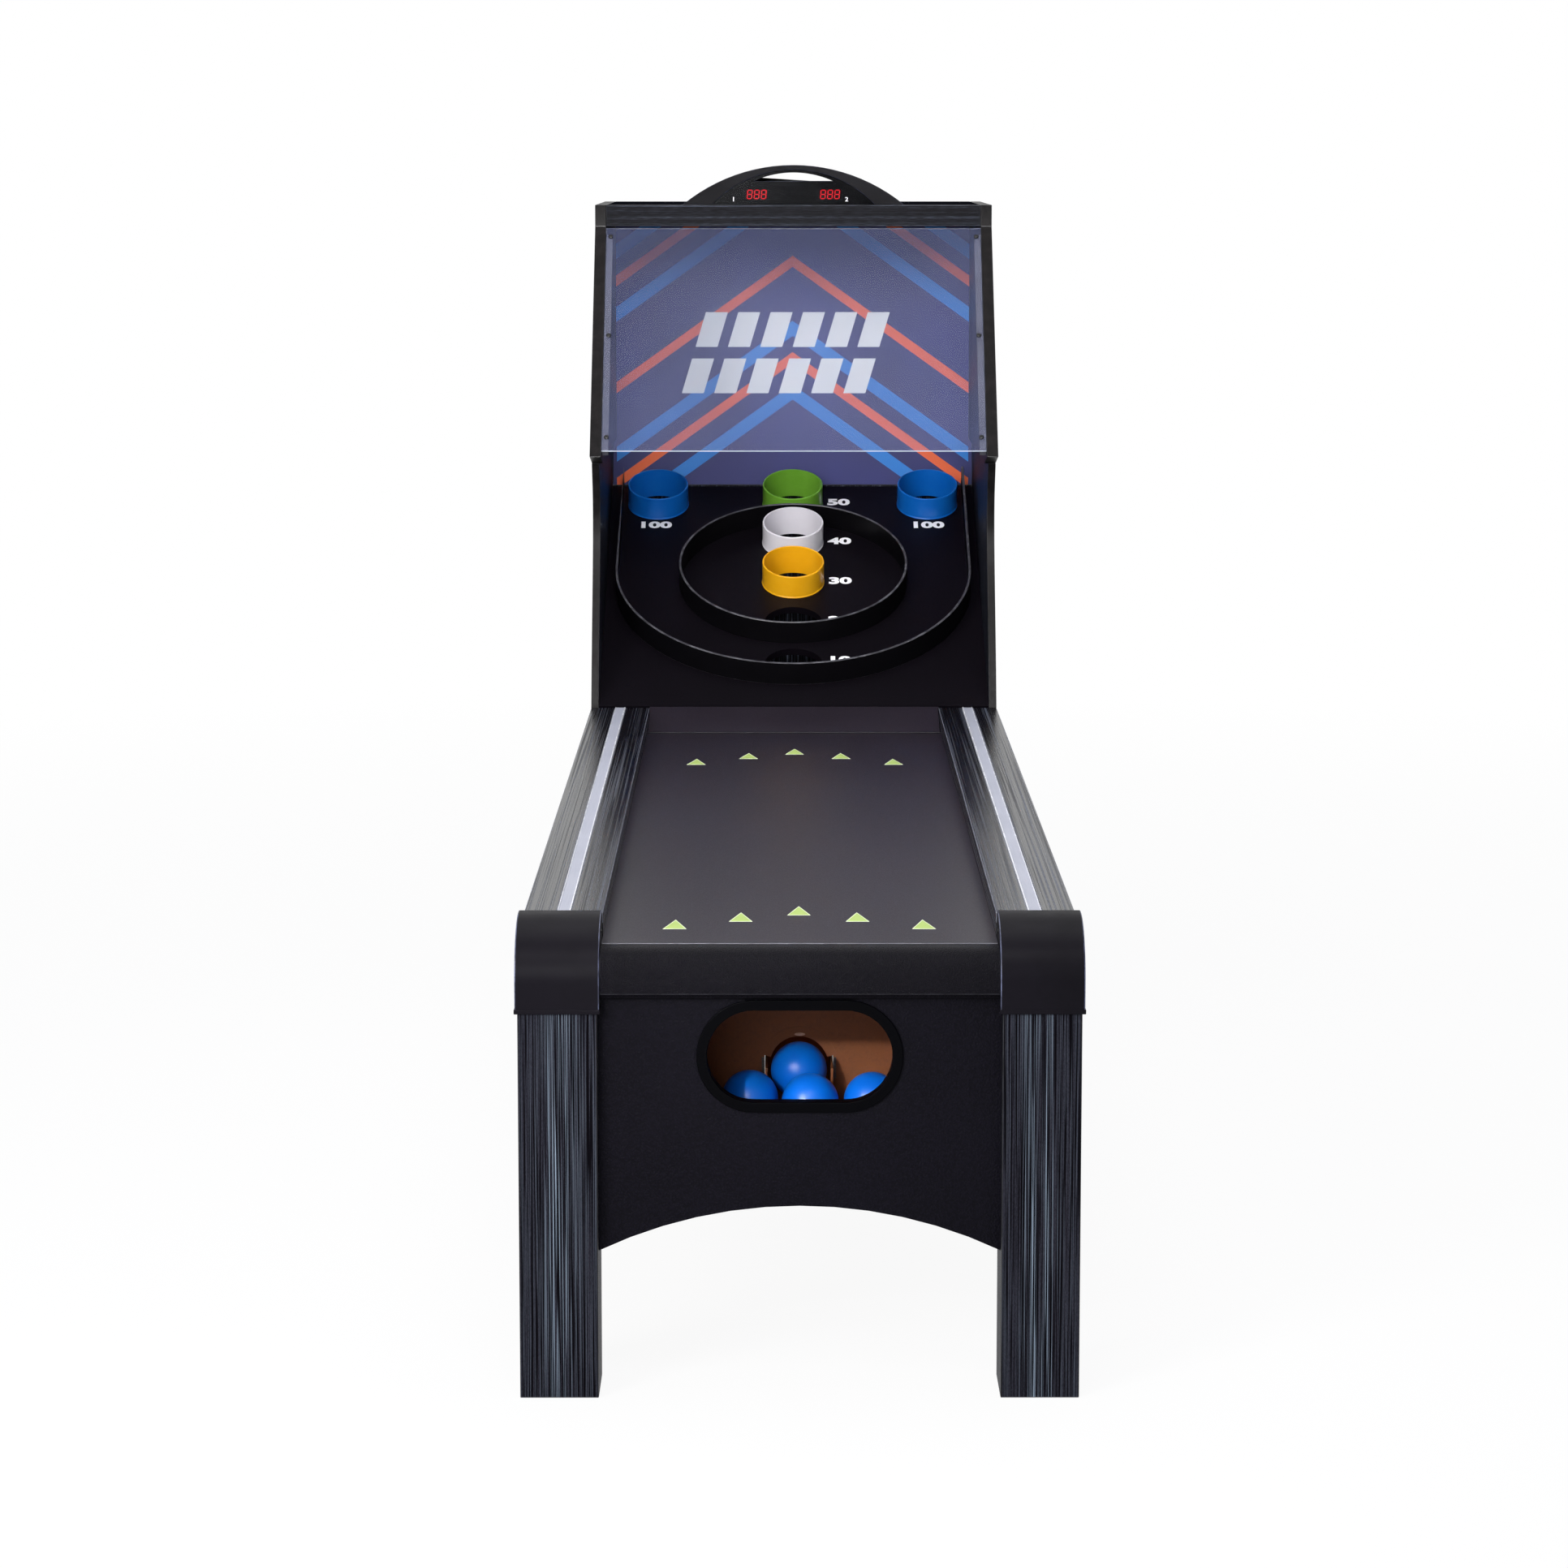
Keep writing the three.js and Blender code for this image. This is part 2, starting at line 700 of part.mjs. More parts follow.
function addTargetBoard() {
  const group = slopedGroup(laneLength, boardStartHeight, boardSlope);
  const half = sideInner - fit;
  const board = outline([[-half, 0], [half, 0], [half, boardLength], [-half, boardLength]]);
  const openRadius = holeDiameter / 2;
  const holes = [[0, holePlaces[0], openRadius], [0, holePlaces[1], openRadius]];
  for (const [, x, y] of cupPlaces) {
    holes.push([x, y, cupDiameter / 2 + fit]);
  }
  for (const [x, y, radius] of holes) {
    const hole = new THREE.Path();
    hole.absarc(x, y, radius, 0, 2 * halfTurn, false);
    board.holes.push(hole);
  }
  add('target_board', extrudeUp(board, [-boardThickness, 0], circleSteps / 2), blackBoard, group);

  for (const [name, x, y, material] of cupPlaces) {
    const cup = roundWall(cupDiameter / 2, cupWall, [-boardThickness, cupHeight], circleSteps);
    add(name, cup, material, group).position.set(x, y, 0);
  }

  const ring = roundWall(innerRingDiameter / 2, ringWall, [fit, fit + ringHeight], ringSteps);
  add('inner_ring', ring, blackPlastic, group).position.set(0, holePlaces[2], 0);

  const outer = outerRingHalf;
  const centre = outerRingStart + outer;
  const wall = new THREE.Shape();
  wall.moveTo(-outer, boardLength);
  wall.absarc(0, centre, outer, halfTurn, 2 * halfTurn, false);
  wall.lineTo(outer, boardLength);
  wall.lineTo(outer - ringWall, boardLength);
  wall.absarc(0, centre, outer - ringWall, 2 * halfTurn, halfTurn, true);
  wall.lineTo(ringWall - outer, boardLength);
  wall.closePath();
  add('outer_ring', extrudeUp(wall, [fit, fit + ringHeight], ringSteps / 2), blackPlastic, group);
}

// Sloped catcher under the target board, with two fences that lead a ball to the chute
function addCatcher() {
  const group = slopedGroup(catchFront, catchFrontHeight, catchSlope);
  const endRoom = sideBoard * Math.sin(catchSlope) + fit;
  const length = (backFace - catchFront - endRoom) / Math.cos(catchSlope);
  const half = sideInner - fit;
  const floor = block([-half, half], [0, length], [-sideBoard, 0]);
  add('catch_board', floor, rawBoard, group);

  for (const [side, sign] of sides) {
    const mouth = sign * funnelMouth / 2;
    const wall = sign * (half - fit);
    const behind = funnelBoard * Math.hypot(wall - mouth, funnelRun) / Math.abs(wall - mouth);
    const fence = outline([
      [mouth, fit], [wall, funnelRun], [wall, funnelRun - behind],
      [mouth + sign * funnelBoard, fit],
    ]);
    add(`catch_fence_${side}`, extrudeUp(fence, [fit, fit + funnelHeight]), rawBoard, group);
  }
}

// Cabinet sides, with a front edge that curves back to a waist below the hood
function addCabinet() {
  const start = laneLength + fit;
  const back = backFace + sideBoard;
  const top = hoodBottomHeight - fit;
  const rise = top - railTopHeight;
  for (const [side, sign] of sides) {
    const shape = new THREE.Shape();
    shape.moveTo(start, skirtBottom);
    shape.lineTo(back, skirtBottom);
    shape.lineTo(back, top);
    shape.lineTo(hoodNeck, top);
    shape.bezierCurveTo(
      hoodNeck + cabinetWaistDepth * chinShare, top - rise * chinShare / 2,
      start + cabinetWaistDepth, top - rise * chinShare / 2,
      start + cabinetWaistDepth, top - rise * chinShare,
    );
    shape.bezierCurveTo(
      start + cabinetWaistDepth, railTopHeight + rise * waistShare,
      start + cabinetWaistDepth * kneeShare, railTopHeight + rise * kneeShare,
      start, railTopHeight,
    );
    shape.closePath();
    const span = spanOn(sign, sideInner, outerHalf);
    add(`cabinet_side_${side}`, extrudeAcross(shape, span, arcSteps / 2), blackLaminate);
  }
  const half = sideInner - fit;
  const boardTop = boardStartHeight + cabinetDepth * Math.tan(boardSlope);
  const rear = block([-half, half], [backFace, back], [skirtBottom, boardTop - fit]);
  add('cabinet_back', rear, blackLaminate);
  const narrow = hoodInner - fit;
  const shoulder = hoodBottomHeight - fit;
  const artTop = hoodTopHeight - hoodBoard - fit;
  const art = outline([
    [-half, boardTop], [half, boardTop], [half, shoulder], [narrow, shoulder],
    [narrow, artTop], [-narrow, artTop], [-narrow, shoulder], [-half, shoulder],
  ]);
  add('back_panel', extrudeAlong(art, [backFace, back]), artPanel);
}

// Hood: two sides with a slanted front edge, a top and a narrow fascia
const hoodNoseFront = laneLength - hoodNoseForward;
const hoodFrontTop = laneLength + hoodTopSetback;
const slantBottom = hoodBottomHeight + hoodNoseHeight;
const slantTop = hoodTopHeight - fasciaHeight;
const slantAngle = Math.atan2(slantTop - slantBottom, hoodFrontTop - hoodNoseFront);
const slantLength = Math.hypot(slantTop - slantBottom, hoodFrontTop - hoodNoseFront);

function addHood() {
  const back = backFace + sideBoard;
  for (const [side, sign] of sides) {
    const shape = outline([
      [hoodNoseFront, slantBottom], [hoodNeck, hoodBottomHeight], [back, hoodBottomHeight],
      [back, hoodTopHeight], [hoodFrontTop, hoodTopHeight], [hoodFrontTop, slantTop],
    ]);
    add(`hood_side_${side}`, extrudeAcross(shape, spanOn(sign, hoodInner, outerHalf)), blackLaminate);
  }
  const half = hoodInner - fit;
  const fasciaBack = hoodFrontTop + sideBoard;
  const fascia = block([-half, half], [hoodFrontTop, fasciaBack], [slantTop, hoodTopHeight]);
  add('hood_fascia', fascia, blackLaminate);
  const topHeights = [hoodTopHeight - hoodBoard, hoodTopHeight];
  add('hood_top', block([-half, half], [fasciaBack + fit, back], topHeights), blackLaminate);
}

// Clear window in the slanted front of the hood, screwed to a cleat on each side
function addWindow() {
  const group = slopedGroup(hoodNoseFront, slantBottom, slantAngle);
  const half = hoodInner - fit;
  const front = -windowRecess;
  const behind = front - windowThickness;
  const end = slantLength - windowEndGap;
  add('window', block([-half, half], [windowStart, end], [behind, front]), clearSheet, group);
  for (const [side, sign] of sides) {
    const span = spanOn(sign, half - cleatWidth, half);
    const heights = [behind - fit - cleatWidth, behind - fit];
    const cleat = block(span, [windowStart, end - cleatWidth], heights);
    add(`window_cleat_${side}`, cleat, blackBoard, group);
  }
}

// Scoreboard: an arched housing with a hand-hold, a lens, a board of digits and a rear cover
const scoreFront = hoodFrontTop + scoreSetback;
const scoreBack = scoreFront + scoreDepth;
const scoreBase = hoodTopHeight + fit;
const coverFront = scoreBack - rearCoverThickness;
const lensFront = scoreFront + scoreRecess - lensThickness - fit;
const scoreCavityWidth = scoreWidth - 2 * scoreShellWidth;
const scoreCavityHeight = scoreHeight - 2 * scoreWall;

function archShape(width, height, base, drop = 0) {
  const points = archPoints(-width / 2, width / 2, base, height, 2 * arcSteps);
  if (drop > 0) {
    points.push([width / 2, base - drop], [-width / 2, base - drop]);
  }
  return outline(points);
}

function handHold(room = 0) {
  const base = scoreBase + handleBottomHeight - room;
  return archShape(handleWidth + 4 * room, handleTopHeight - handleBottomHeight + 2 * room, base);
}

function addScoreboard() {
  const shell = extrudeAlong(archShape(scoreWidth, scoreHeight, scoreBase), [scoreFront, scoreBack]);
  const faceBack = scoreFront + scoreRecess + scoreWall;
  const face = archShape(scoreFaceWidth, scoreFaceHeight, scoreBase, overrun);
  const recess = extrudeAlong(face, [scoreFront - overrun, scoreFront + scoreRecess]);
  const cavityShape = archShape(scoreCavityWidth, scoreCavityHeight, scoreBase, overrun);
  const cavity = extrudeAlong(cavityShape, [faceBack, scoreBack + overrun]);
  const sleeve = extrudeAlong(handHold(scoreWall), [faceBack - scoreWall, coverFront - fit]);
  const hold = extrudeAlong(handHold(), [scoreFront - overrun, scoreBack + overrun]);
  const digitCuts = sides.map(([, sign]) => digitsBlock(sign, [scoreFront, faceBack + overrun], fit));
  const hollowed = cut(shell, [recess, cavity]);
  const housing = cut(join([hollowed, sleeve]), [hold, ...digitCuts]);
  add('score_housing', housing, blackPlastic);

  const lensShape = archShape(scoreFaceWidth - 4 * fit, scoreFaceHeight - 2 * fit, scoreBase + fit);
  const lensPlate = extrudeAlong(lensShape, [lensFront, lensFront + lensThickness]);
  const lensHold = extrudeAlong(handHold(fit), [lensFront - overrun, lensFront + overrun]);
  add('score_lens', cut(lensPlate, [lensHold]), redLens);

  const digitsFront = scoreFront + scoreRecess + fit;
  const circuitFront = digitsFront + digitsDepth;
  const circuitHalf = circuitWidth / 2;
  const circuitDepth = [circuitFront, circuitFront + circuitThickness];
  const circuitHeights = [scoreBase + fit, scoreBase + circuitHeight];
  const pieces = [block([-circuitHalf, circuitHalf], circuitDepth, circuitHeights)];
  for (const [, sign] of sides) {
    pieces.push(digitsBlock(sign, [digitsFront, circuitFront + circuitThickness / 2]));
  }
  add('score_circuit', join(pieces), circuitGreen);
}

// A group of digits, with some room round it where it is a cut-out
function digitsBlock(sign, depth, room = 0) {
  const inner = digitsOffset - digitsWidth / 2 - room;
  const outer = digitsOffset + digitsWidth / 2 + room;
  const bottom = scoreBase + digitsFromHood;
  return block(spanOn(sign, inner, outer), depth, [bottom - room, bottom + digitsHeight + room]);
}

// Rear cover of the scoreboard, with the speaker, the switch, the button and the battery door
const controlsHeight = scoreBase + controlsFromHood;

function roundBar(radius, [y0, y1], x, z) {
  const shape = new THREE.Shape();
  shape.absarc(x, z, radius, 0, 2 * halfTurn, false);
  return extrudeAlong(shape, [y0, y1], circleSteps / 4);
}

function addRearCover() {
  const shape = archShape(scoreCavityWidth - 4 * fit, scoreCavityHeight - 2 * fit, scoreBase + fit);
  const cover = extrudeAlong(shape, [coverFront, scoreBack]);
  const through = [coverFront - overrun, scoreBack + overrun];
  const switchSpan = [switchOffset - switchWidth / 2 - fit, switchOffset + switchWidth / 2 + fit];
  const switchHeights = [controlsHeight - switchHeight / 2 - fit, controlsHeight + switchHeight / 2 + fit];
  const doorInner = batteryDoorWidth / 2 - batteryLipWidth;
  const doorHigh = batteryDoorHeight / 2 - batteryLipWidth;
  const cuts = [
    extrudeAlong(handHold(), through),
    block(switchSpan, through, switchHeights),
    roundBar(buttonStemDiameter / 2 + fit, through, buttonOffset, controlsHeight),
    block(
      [batteryOffset - doorInner, batteryOffset + doorInner],
      through,
      [controlsHeight - doorHigh, controlsHeight + doorHigh],
    ),
  ];
  const grilleRows = [-1, 0, 1];
  for (const row of grilleRows) {
    for (const column of grilleRows) {
      const x = column * speakerHolePitch;
      const z = controlsHeight + row * speakerHolePitch;
      cuts.push(roundBar(speakerHoleDiameter / 2, through, x, z));
    }
  }
  add('score_cover', cut(cover, cuts), blackPlastic);
}

function addSpeaker() {
  const radius = speakerDiameter / 2;
  const magnet = radius * speakerMagnetShare;
  const rim = speakerDepth * speakerRimShare;
  const profile = [
    [0, 0], [radius, 0], [radius, rim],
    [magnet, rim], [magnet, speakerDepth], [0, speakerDepth],
  ];
  const geometry = spun(profile, circleSteps / 2);
  geometry.rotateX(quarterTurn);
  geometry.translate(0, coverFront - fit, controlsHeight);
  add('speaker', geometry, speakerSteel);
}

// Rocker of the power switch, drawn at rest on its lower side
function addPowerSwitch() {
  const half = switchWidth / 2 - switchDepth * Math.tan(switchTilt);
  const body = outline([
    [-half, -switchDepth], [half, -switchDepth],
    [half, switchProud], [0, switchProud / 2], [-half, switchProud],
  ]);
  const height = switchHeight - 2 * fit;
  const rocker = extrudeUp(body, [-height / 2, height / 2]);
  const mesh = add('power_switch', rocker, redLens);
  mesh.position.set(switchOffset, scoreBack, controlsHeight);
  mesh.rotation.z = switchTilt;
}

function addResetButton() {
  const cap = roundBar(
    buttonDiameter / 2, [scoreBack + buttonTravel + fit, scoreBack + buttonTravel + buttonProud],
    buttonOffset, controlsHeight,
  );
  const stem = roundBar(
    buttonStemDiameter / 2, [scoreBack - buttonStemLength, scoreBack + buttonTravel + buttonProud / 2],
    buttonOffset, controlsHeight,
  );
  add('reset_button', join([cap, stem]), redLens);
}

function addBatteryDoor() {
  const half = batteryDoorWidth / 2;
  const high = batteryDoorHeight / 2;
  const face = scoreBack + fit;
  const plate = block(
    [batteryOffset - half, batteryOffset + half],
    [face, face + batteryDoorThickness],
    [controlsHeight - high, controlsHeight + high],
  );
  const ridges = [-1, 0, 1].map((step) => {
    const x = batteryOffset + half / 2 + step * 2 * batteryLipWidth;
    return block(
      [x, x + batteryLipWidth / 2],
      [face + batteryDoorThickness / 2, face + batteryDoorThickness + batteryRidgeDepth],
      [controlsHeight - high / 2, controlsHeight + high / 2],
    );
  });
  add('battery_door', join([plate, ...ridges]), blackPlastic);
}

addLegs();
addCornerCaps();
addNose();
addApron();
addBezel();
addRails();
addLane();
addTray();
addTrayBalls();
addChute();
addSupport();
addBulkhead();
addTargetBoard();
addCatcher();
addCabinet();
addHood();
addWindow();
addScoreboard();
addRearCover();
addSpeaker();
addPowerSwitch();
addResetButton();
addBatteryDoor();

export default table;
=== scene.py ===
import math
import random

import bmesh
import bpy
from mathutils import Matrix, Vector


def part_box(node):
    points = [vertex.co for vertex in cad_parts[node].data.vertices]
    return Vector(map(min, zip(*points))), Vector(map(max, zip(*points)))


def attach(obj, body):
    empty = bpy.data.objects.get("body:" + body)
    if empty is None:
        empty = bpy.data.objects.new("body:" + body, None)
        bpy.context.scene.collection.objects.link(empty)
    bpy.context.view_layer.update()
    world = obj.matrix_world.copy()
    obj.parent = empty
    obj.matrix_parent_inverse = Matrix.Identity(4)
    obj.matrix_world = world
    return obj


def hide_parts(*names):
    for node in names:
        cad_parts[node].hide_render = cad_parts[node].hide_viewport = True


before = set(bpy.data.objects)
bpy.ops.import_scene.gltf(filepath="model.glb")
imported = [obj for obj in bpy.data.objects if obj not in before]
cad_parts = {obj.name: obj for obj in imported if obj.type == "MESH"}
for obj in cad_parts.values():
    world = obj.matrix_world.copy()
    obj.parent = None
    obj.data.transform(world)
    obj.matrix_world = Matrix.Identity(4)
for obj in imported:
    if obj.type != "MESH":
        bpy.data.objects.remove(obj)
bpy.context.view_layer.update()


# The photographer's studio: a white surround that the eye, gloss and clear sheet all see,
# six soft lamps and a pale floor that keeps a faint shadow. The camera stands well in
# front of the table, a little above the scoreboard, and its lens is shifted down a little.
class Wire:
    """An output of a node. Sums on it add Math nodes."""

    def __init__(self, tree, socket):
        self.tree = tree
        self.socket = socket

    def _sum(self, operation, *terms):
        sockets = dict(enumerate(terms))
        return self.tree.node("ShaderNodeMath", {"operation": operation}, sockets)

    def __add__(self, other):
        return self._sum("ADD", self, other)

    def __sub__(self, other):
        return self._sum("SUBTRACT", self, other)

    def __rsub__(self, other):
        return self._sum("SUBTRACT", other, self)

    def __mul__(self, other):
        return self._sum("MULTIPLY", self, other)

    def __abs__(self):
        return self._sum("ABSOLUTE", self)

    __radd__ = __add__
    __rmul__ = __mul__

    def spread(self, low, high, start=0.0, end=1.0):
        """The part of the wire between low and high, stretched from start to end."""
        sockets = {0: self, 1: low, 2: high, 3: start, 4: end}
        return self.tree.node("ShaderNodeMapRange", {"clamp": True}, sockets)


class Tree:
    """The nodes of a material or a world."""

    def __init__(self, owner):
        owner.use_nodes = True
        self.made = owner.node_tree
        self.made.nodes.clear()

    def node(self, kind, settings=None, sockets=None, output=0):
        node = self.made.nodes.new(kind)
        for name, value in (settings or {}).items():
            setattr(node, name, value)
        for name, value in (sockets or {}).items():
            if isinstance(value, Wire):
                self.made.links.new(value.socket, node.inputs[name])
            else:
                node.inputs[name].default_value = value
        if node.outputs:
            return Wire(self, node.outputs[output])
        return None


def paint(red, green, blue):
    """A colour as it is written on a screen, 0 to 255, in the renderer's own numbers."""
    parts = []
    for value in (red, green, blue):
        share = value / 255
        parts.append(share / 12.92 if share < 0.04045 else ((share + 0.055) / 1.055) ** 2.4)
    return (*parts, 1.0)


camera = bpy.data.cameras.new("camera")
camera.lens = 95.69
camera.sensor_width = 36
camera.shift_y = -0.06
eye = bpy.data.objects.new("camera", camera)
eye.location = (-0.02487, -5.98386, 1.45941)
eye.rotation_euler = (math.radians(90 - 7.511), 0, math.radians(-0.079))
bpy.context.scene.collection.objects.link(eye)
bpy.context.scene.camera = eye
bpy.context.scene.view_settings.view_transform = "Standard"


def seen_white(tree):
    """1 where a ray comes straight from the eye, off gloss or through clear sheet."""
    rays = [tree.node("ShaderNodeLightPath", output=name) for name in (
        "Is Camera Ray", "Is Glossy Ray", "Is Transmission Ray")]
    return (rays[0] + rays[1] + rays[2]).spread(0, 1)


world = bpy.data.worlds.new("studio")
bpy.context.scene.world = world
air = Tree(world)
room_light = air.node(
    "ShaderNodeBackground", {}, {"Color": paint(226, 230, 238), "Strength": 0.42})
to_sky = air.node("ShaderNodeTexCoord", output="Generated")
backwards = air.node("ShaderNodeSeparateXYZ", {}, {0: to_sky}, output="Y")
upwards = air.node("ShaderNodeSeparateXYZ", {}, {0: to_sky}, output="Z")
straight = air.node("ShaderNodeLightPath", output="Is Camera Ray")
# Gloss sees the surround dim in front of the table and near the horizon.
dimmed = backwards.spread(0.2, 0.75, 0.34, 1.0) * upwards.spread(0.08, 0.19, 0.4, 1.15)
brightness = straight + (1 - straight) * dimmed
surround = air.node(
    "ShaderNodeBackground", {}, {"Color": (1, 1, 1, 1), "Strength": brightness.spread(0, 1)})
studio_air = air.node(
    "ShaderNodeMixShader", {}, {0: seen_white(air), 1: room_light, 2: surround})
air.node("ShaderNodeOutputWorld", {}, {"Surface": studio_air})

# Each lamp's name, its place and what it points at in metres, its width, power in watts,
# spread in degrees and tint.
lamps = [
    ("key", (-2.6, -4.5, 2.5), (0.0, -0.4, 0.7), 1.5, 180, 180, (1.0, 0.985, 0.965)),
    ("fill", (-0.8, -5.4, 1.7), (0.0, 0.0, 0.6), 1.6, 40, 180, (0.93, 0.96, 1.0)),
    ("top", (0.0, -0.5, 3.6), (0.0, -0.7, 0.5), 2.4, 32, 150, (1.0, 1.0, 1.0)),
    ("front", (0.0, -3.0, 3.0), (0.0, -1.2, 0.5), 0.9, 12, 120, (1.0, 1.0, 1.0)),
    ("hood", (0.0, -2.2, 2.2), (0.0, 1.2, 1.0), 0.9, 8.5, 60, (1.0, 1.0, 1.0)),
    ("slot", (-0.9, -3.27, 1.3), (0.0, -1.08, 0.37), 0.1, 0.27, 16, (1.0, 0.98, 0.95)),
]
for name, stand, target, size, power, cone, tint in lamps:
    lamp = bpy.data.lights.new(name, "AREA")
    lamp.size = size
    lamp.energy = power
    lamp.spread = math.radians(cone)
    lamp.color = tint
    holder = bpy.data.objects.new(name, lamp)
    holder.location = stand
    aim = Vector(target) - Vector(stand)
    holder.rotation_euler = aim.to_track_quat("-Z", "Y").to_euler()
    holder.visible_camera = False
    bpy.context.scene.collection.objects.link(holder)

floor_mesh = bpy.data.meshes.new("studio_floor")
sheet = bmesh.new()
bmesh.ops.create_grid(sheet, x_segments=2, y_segments=2, size=30)
sheet.to_mesh(floor_mesh)
sheet.free()
floor_paint = bpy.data.materials.new("studio_floor")
cove = Tree(floor_paint)
matt = cove.node("ShaderNodeBsdfDiffuse", {}, {"Color": paint(238, 238, 240)})
glow = cove.node("ShaderNodeEmission", {}, {"Color": (1, 1, 1, 1), "Strength": 1.0})
ground_spot = cove.node("ShaderNodeTexCoord", output="Object")
away = cove.node(
    "ShaderNodeVectorMath", {"operation": "LENGTH"}, {0: ground_spot}, output="Value")
whitened = seen_white(cove) * away.spread(1.6, 5.0, 0.93, 1.0)
floor_look = cove.node("ShaderNodeMixShader", {}, {0: whitened, 1: matt, 2: glow})
cove.node("ShaderNodeOutputMaterial", {}, {"Surface": floor_look})
floor_mesh.materials.append(floor_paint)
floor = bpy.data.objects.new("studio_floor", floor_mesh)
bpy.context.scene.collection.objects.link(floor)


# Four legs of square section, boards wrapped in black laminate with fine grey ribs that
# run up the leg. The front pair stands inside the corner caps and the rear pair inside
# the cabinet. Their edges are eased and rub a little paler.
MM = 0.001
HALF_LENGTH = 1258


def at(x, y, z):
    """A place measured in millimetres from the front face of the table, in the row frame."""
    return Vector((x, y - HALF_LENGTH, z)) * MM


class Finish(Tree):
    """A material under way. Its patterns follow the object's own coordinates, in metres."""

    def __init__(self, name):
        self.material = bpy.data.materials.new(name)
        super().__init__(self.material)

    def place(self, stretch=(1, 1, 1), shift=(0, 0, 0)):
        where = self.node("ShaderNodeTexCoord", output="Object")
        sockets = {"Vector": where, "Scale": stretch, "Location": shift}
        return self.node("ShaderNodeMapping", {}, sockets)

    def axis(self, name):
        return self.node("ShaderNodeSeparateXYZ", {}, {0: self.place()}, output=name)

    def noise(self, stretch, detail=2.0, roughness=0.5, shift=(0, 0, 0)):
        if not isinstance(stretch, (tuple, list)):
            stretch = (stretch, stretch, stretch)
        sockets = {
            "Vector": self.place(stretch, shift), "Scale": 1.0,
            "Detail": detail, "Roughness": roughness}
        return self.node("ShaderNodeTexNoise", {}, sockets)

    def mix(self, share, first, second):
        sockets = {0: share, 6: first, 7: second}
        return self.node("ShaderNodeMix", {"data_type": "RGBA"}, sockets, output=2)

    def relief(self, height, depth, strength):
        sockets = {"Height": height, "Distance": depth, "Strength": strength}
        return self.node("ShaderNodeBump", {}, sockets)

    def done(self, **sockets):
        named = {name.replace("_", " "): value for name, value in sockets.items()}
        surface = self.node("ShaderNodeBsdfPrincipled", {}, named)
        self.node("ShaderNodeOutputMaterial", {}, {"Surface": surface})
        return self.material


def edge_wear_and_highlight(name, ground, rubbed, gloss=0.4):
    """The eased edge of a board or moulding, paler here and there: rubbed by hands on some
    pieces, a painted highlight where light catches the edge on others.
    """
    finish = Finish(name)
    rub = finish.noise(60, 4, 0.65).spread(0.42, 0.7)
    return finish.done(
        Base_Color=finish.mix(rub, ground, rubbed),
        Roughness=rub.spread(0, 1, 0.32, 0.5),
        Specular_IOR_Level=gloss,
    )


def smoothed(mesh):
    """Shades curves smoothly and keeps flat faces flat."""
    mesh.shade_smooth()
    mesh.set_sharp_from_angle(angle=math.radians(12))


def fitted(name, shape, finishes, body="frame", stands_for=()):
    """Turns a shape into a piece of the table that rides on a body."""
    mesh = bpy.data.meshes.new(name)
    shape.to_mesh(mesh)
    shape.free()
    for finish in finishes:
        mesh.materials.append(finish)
    smoothed(mesh)
    piece = bpy.data.objects.new(name, mesh)
    bpy.context.scene.collection.objects.link(piece)
    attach(piece, body)
    if stands_for:
        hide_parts(*stands_for)


def dressed(node, finishes, ease=0.8, steps=2, body="frame", sort=None, turn=32):
    """A copy of a solid with its sharp edges eased. The last finish is the edge's own.
    sort says which of the other finishes a face takes, and turn, in degrees, from which
    angle on an edge counts as sharp."""
    shape = bmesh.new()
    shape.from_mesh(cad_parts[node].data)
    bmesh.ops.remove_doubles(shape, verts=shape.verts, dist=0.000005)
    bmesh.ops.dissolve_limit(
        shape, angle_limit=math.radians(0.5), use_dissolve_boundaries=False,
        verts=shape.verts, edges=shape.edges)
    for face in shape.faces:
        face.material_index = sort(face) if sort else 0
    sharp = [edge for edge in shape.edges if edge.calc_face_angle(0) > math.radians(turn)]
    eased = bmesh.ops.bevel(
        shape, geom=sharp, offset=ease * MM, offset_type="OFFSET", affect="EDGES",
        segments=steps, profile=0.5, material=-1, clamp_overlap=True)
    for face in eased["faces"]:
        face.material_index = len(finishes) - 1
    fitted(node + "_finished", shape, finishes, body, [node])


def ribbed(name, crown):
    """The laminate of the legs: dark pores between fine ribs, palest down the middle.
    crown says how far, in metres, that middle is from the table's own."""
    finish = Finish(name)
    ribs = finish.noise((940, 940, 5), 1, 0.5).spread(0.42, 0.52)
    speck = finish.noise((1500, 1500, 380), 2, 0.7).spread(0.3, 0.7)
    threads = finish.noise((980, 980, 2.4), 1, 0.5, shift=(7, 3, 1)).spread(0.5, 0.62)
    middle = abs(abs(finish.axis("X")) - crown).spread(0.004, 0.024, 0.8, 0.1)
    body = finish.mix(speck, paint(24, 24, 31), paint(46, 46, 55))
    rib = finish.mix(threads * middle, body, paint(134, 150, 166))
    return finish.done(
        Base_Color=finish.mix(ribs, paint(4, 3, 7), rib),
        Roughness=ribs.spread(0, 1, 0.5, 0.4),
        Specular_IOR_Level=0.03,
        Normal=finish.relief(ribs, 0.0002, 0.4),
    )


rubbed_edge = edge_wear_and_highlight("rubbed_edge", paint(12, 12, 16), paint(36, 37, 43))
leg_laminate = ribbed("leg_laminate", crown=0.279)
for side in ("left", "right"):
    dressed(f"front_leg_{side}", [leg_laminate, rubbed_edge], 1.0)
    dressed(f"rear_leg_{side}", [leg_laminate, rubbed_edge], 1.0)


# Corner caps, moulded in satin black plastic. They slide over the tops of the front legs,
# have a thin bead round the lower rim, and are held by small cross-head screws through
# their inner walls.
SIDES = (("left", -1), ("right", 1))


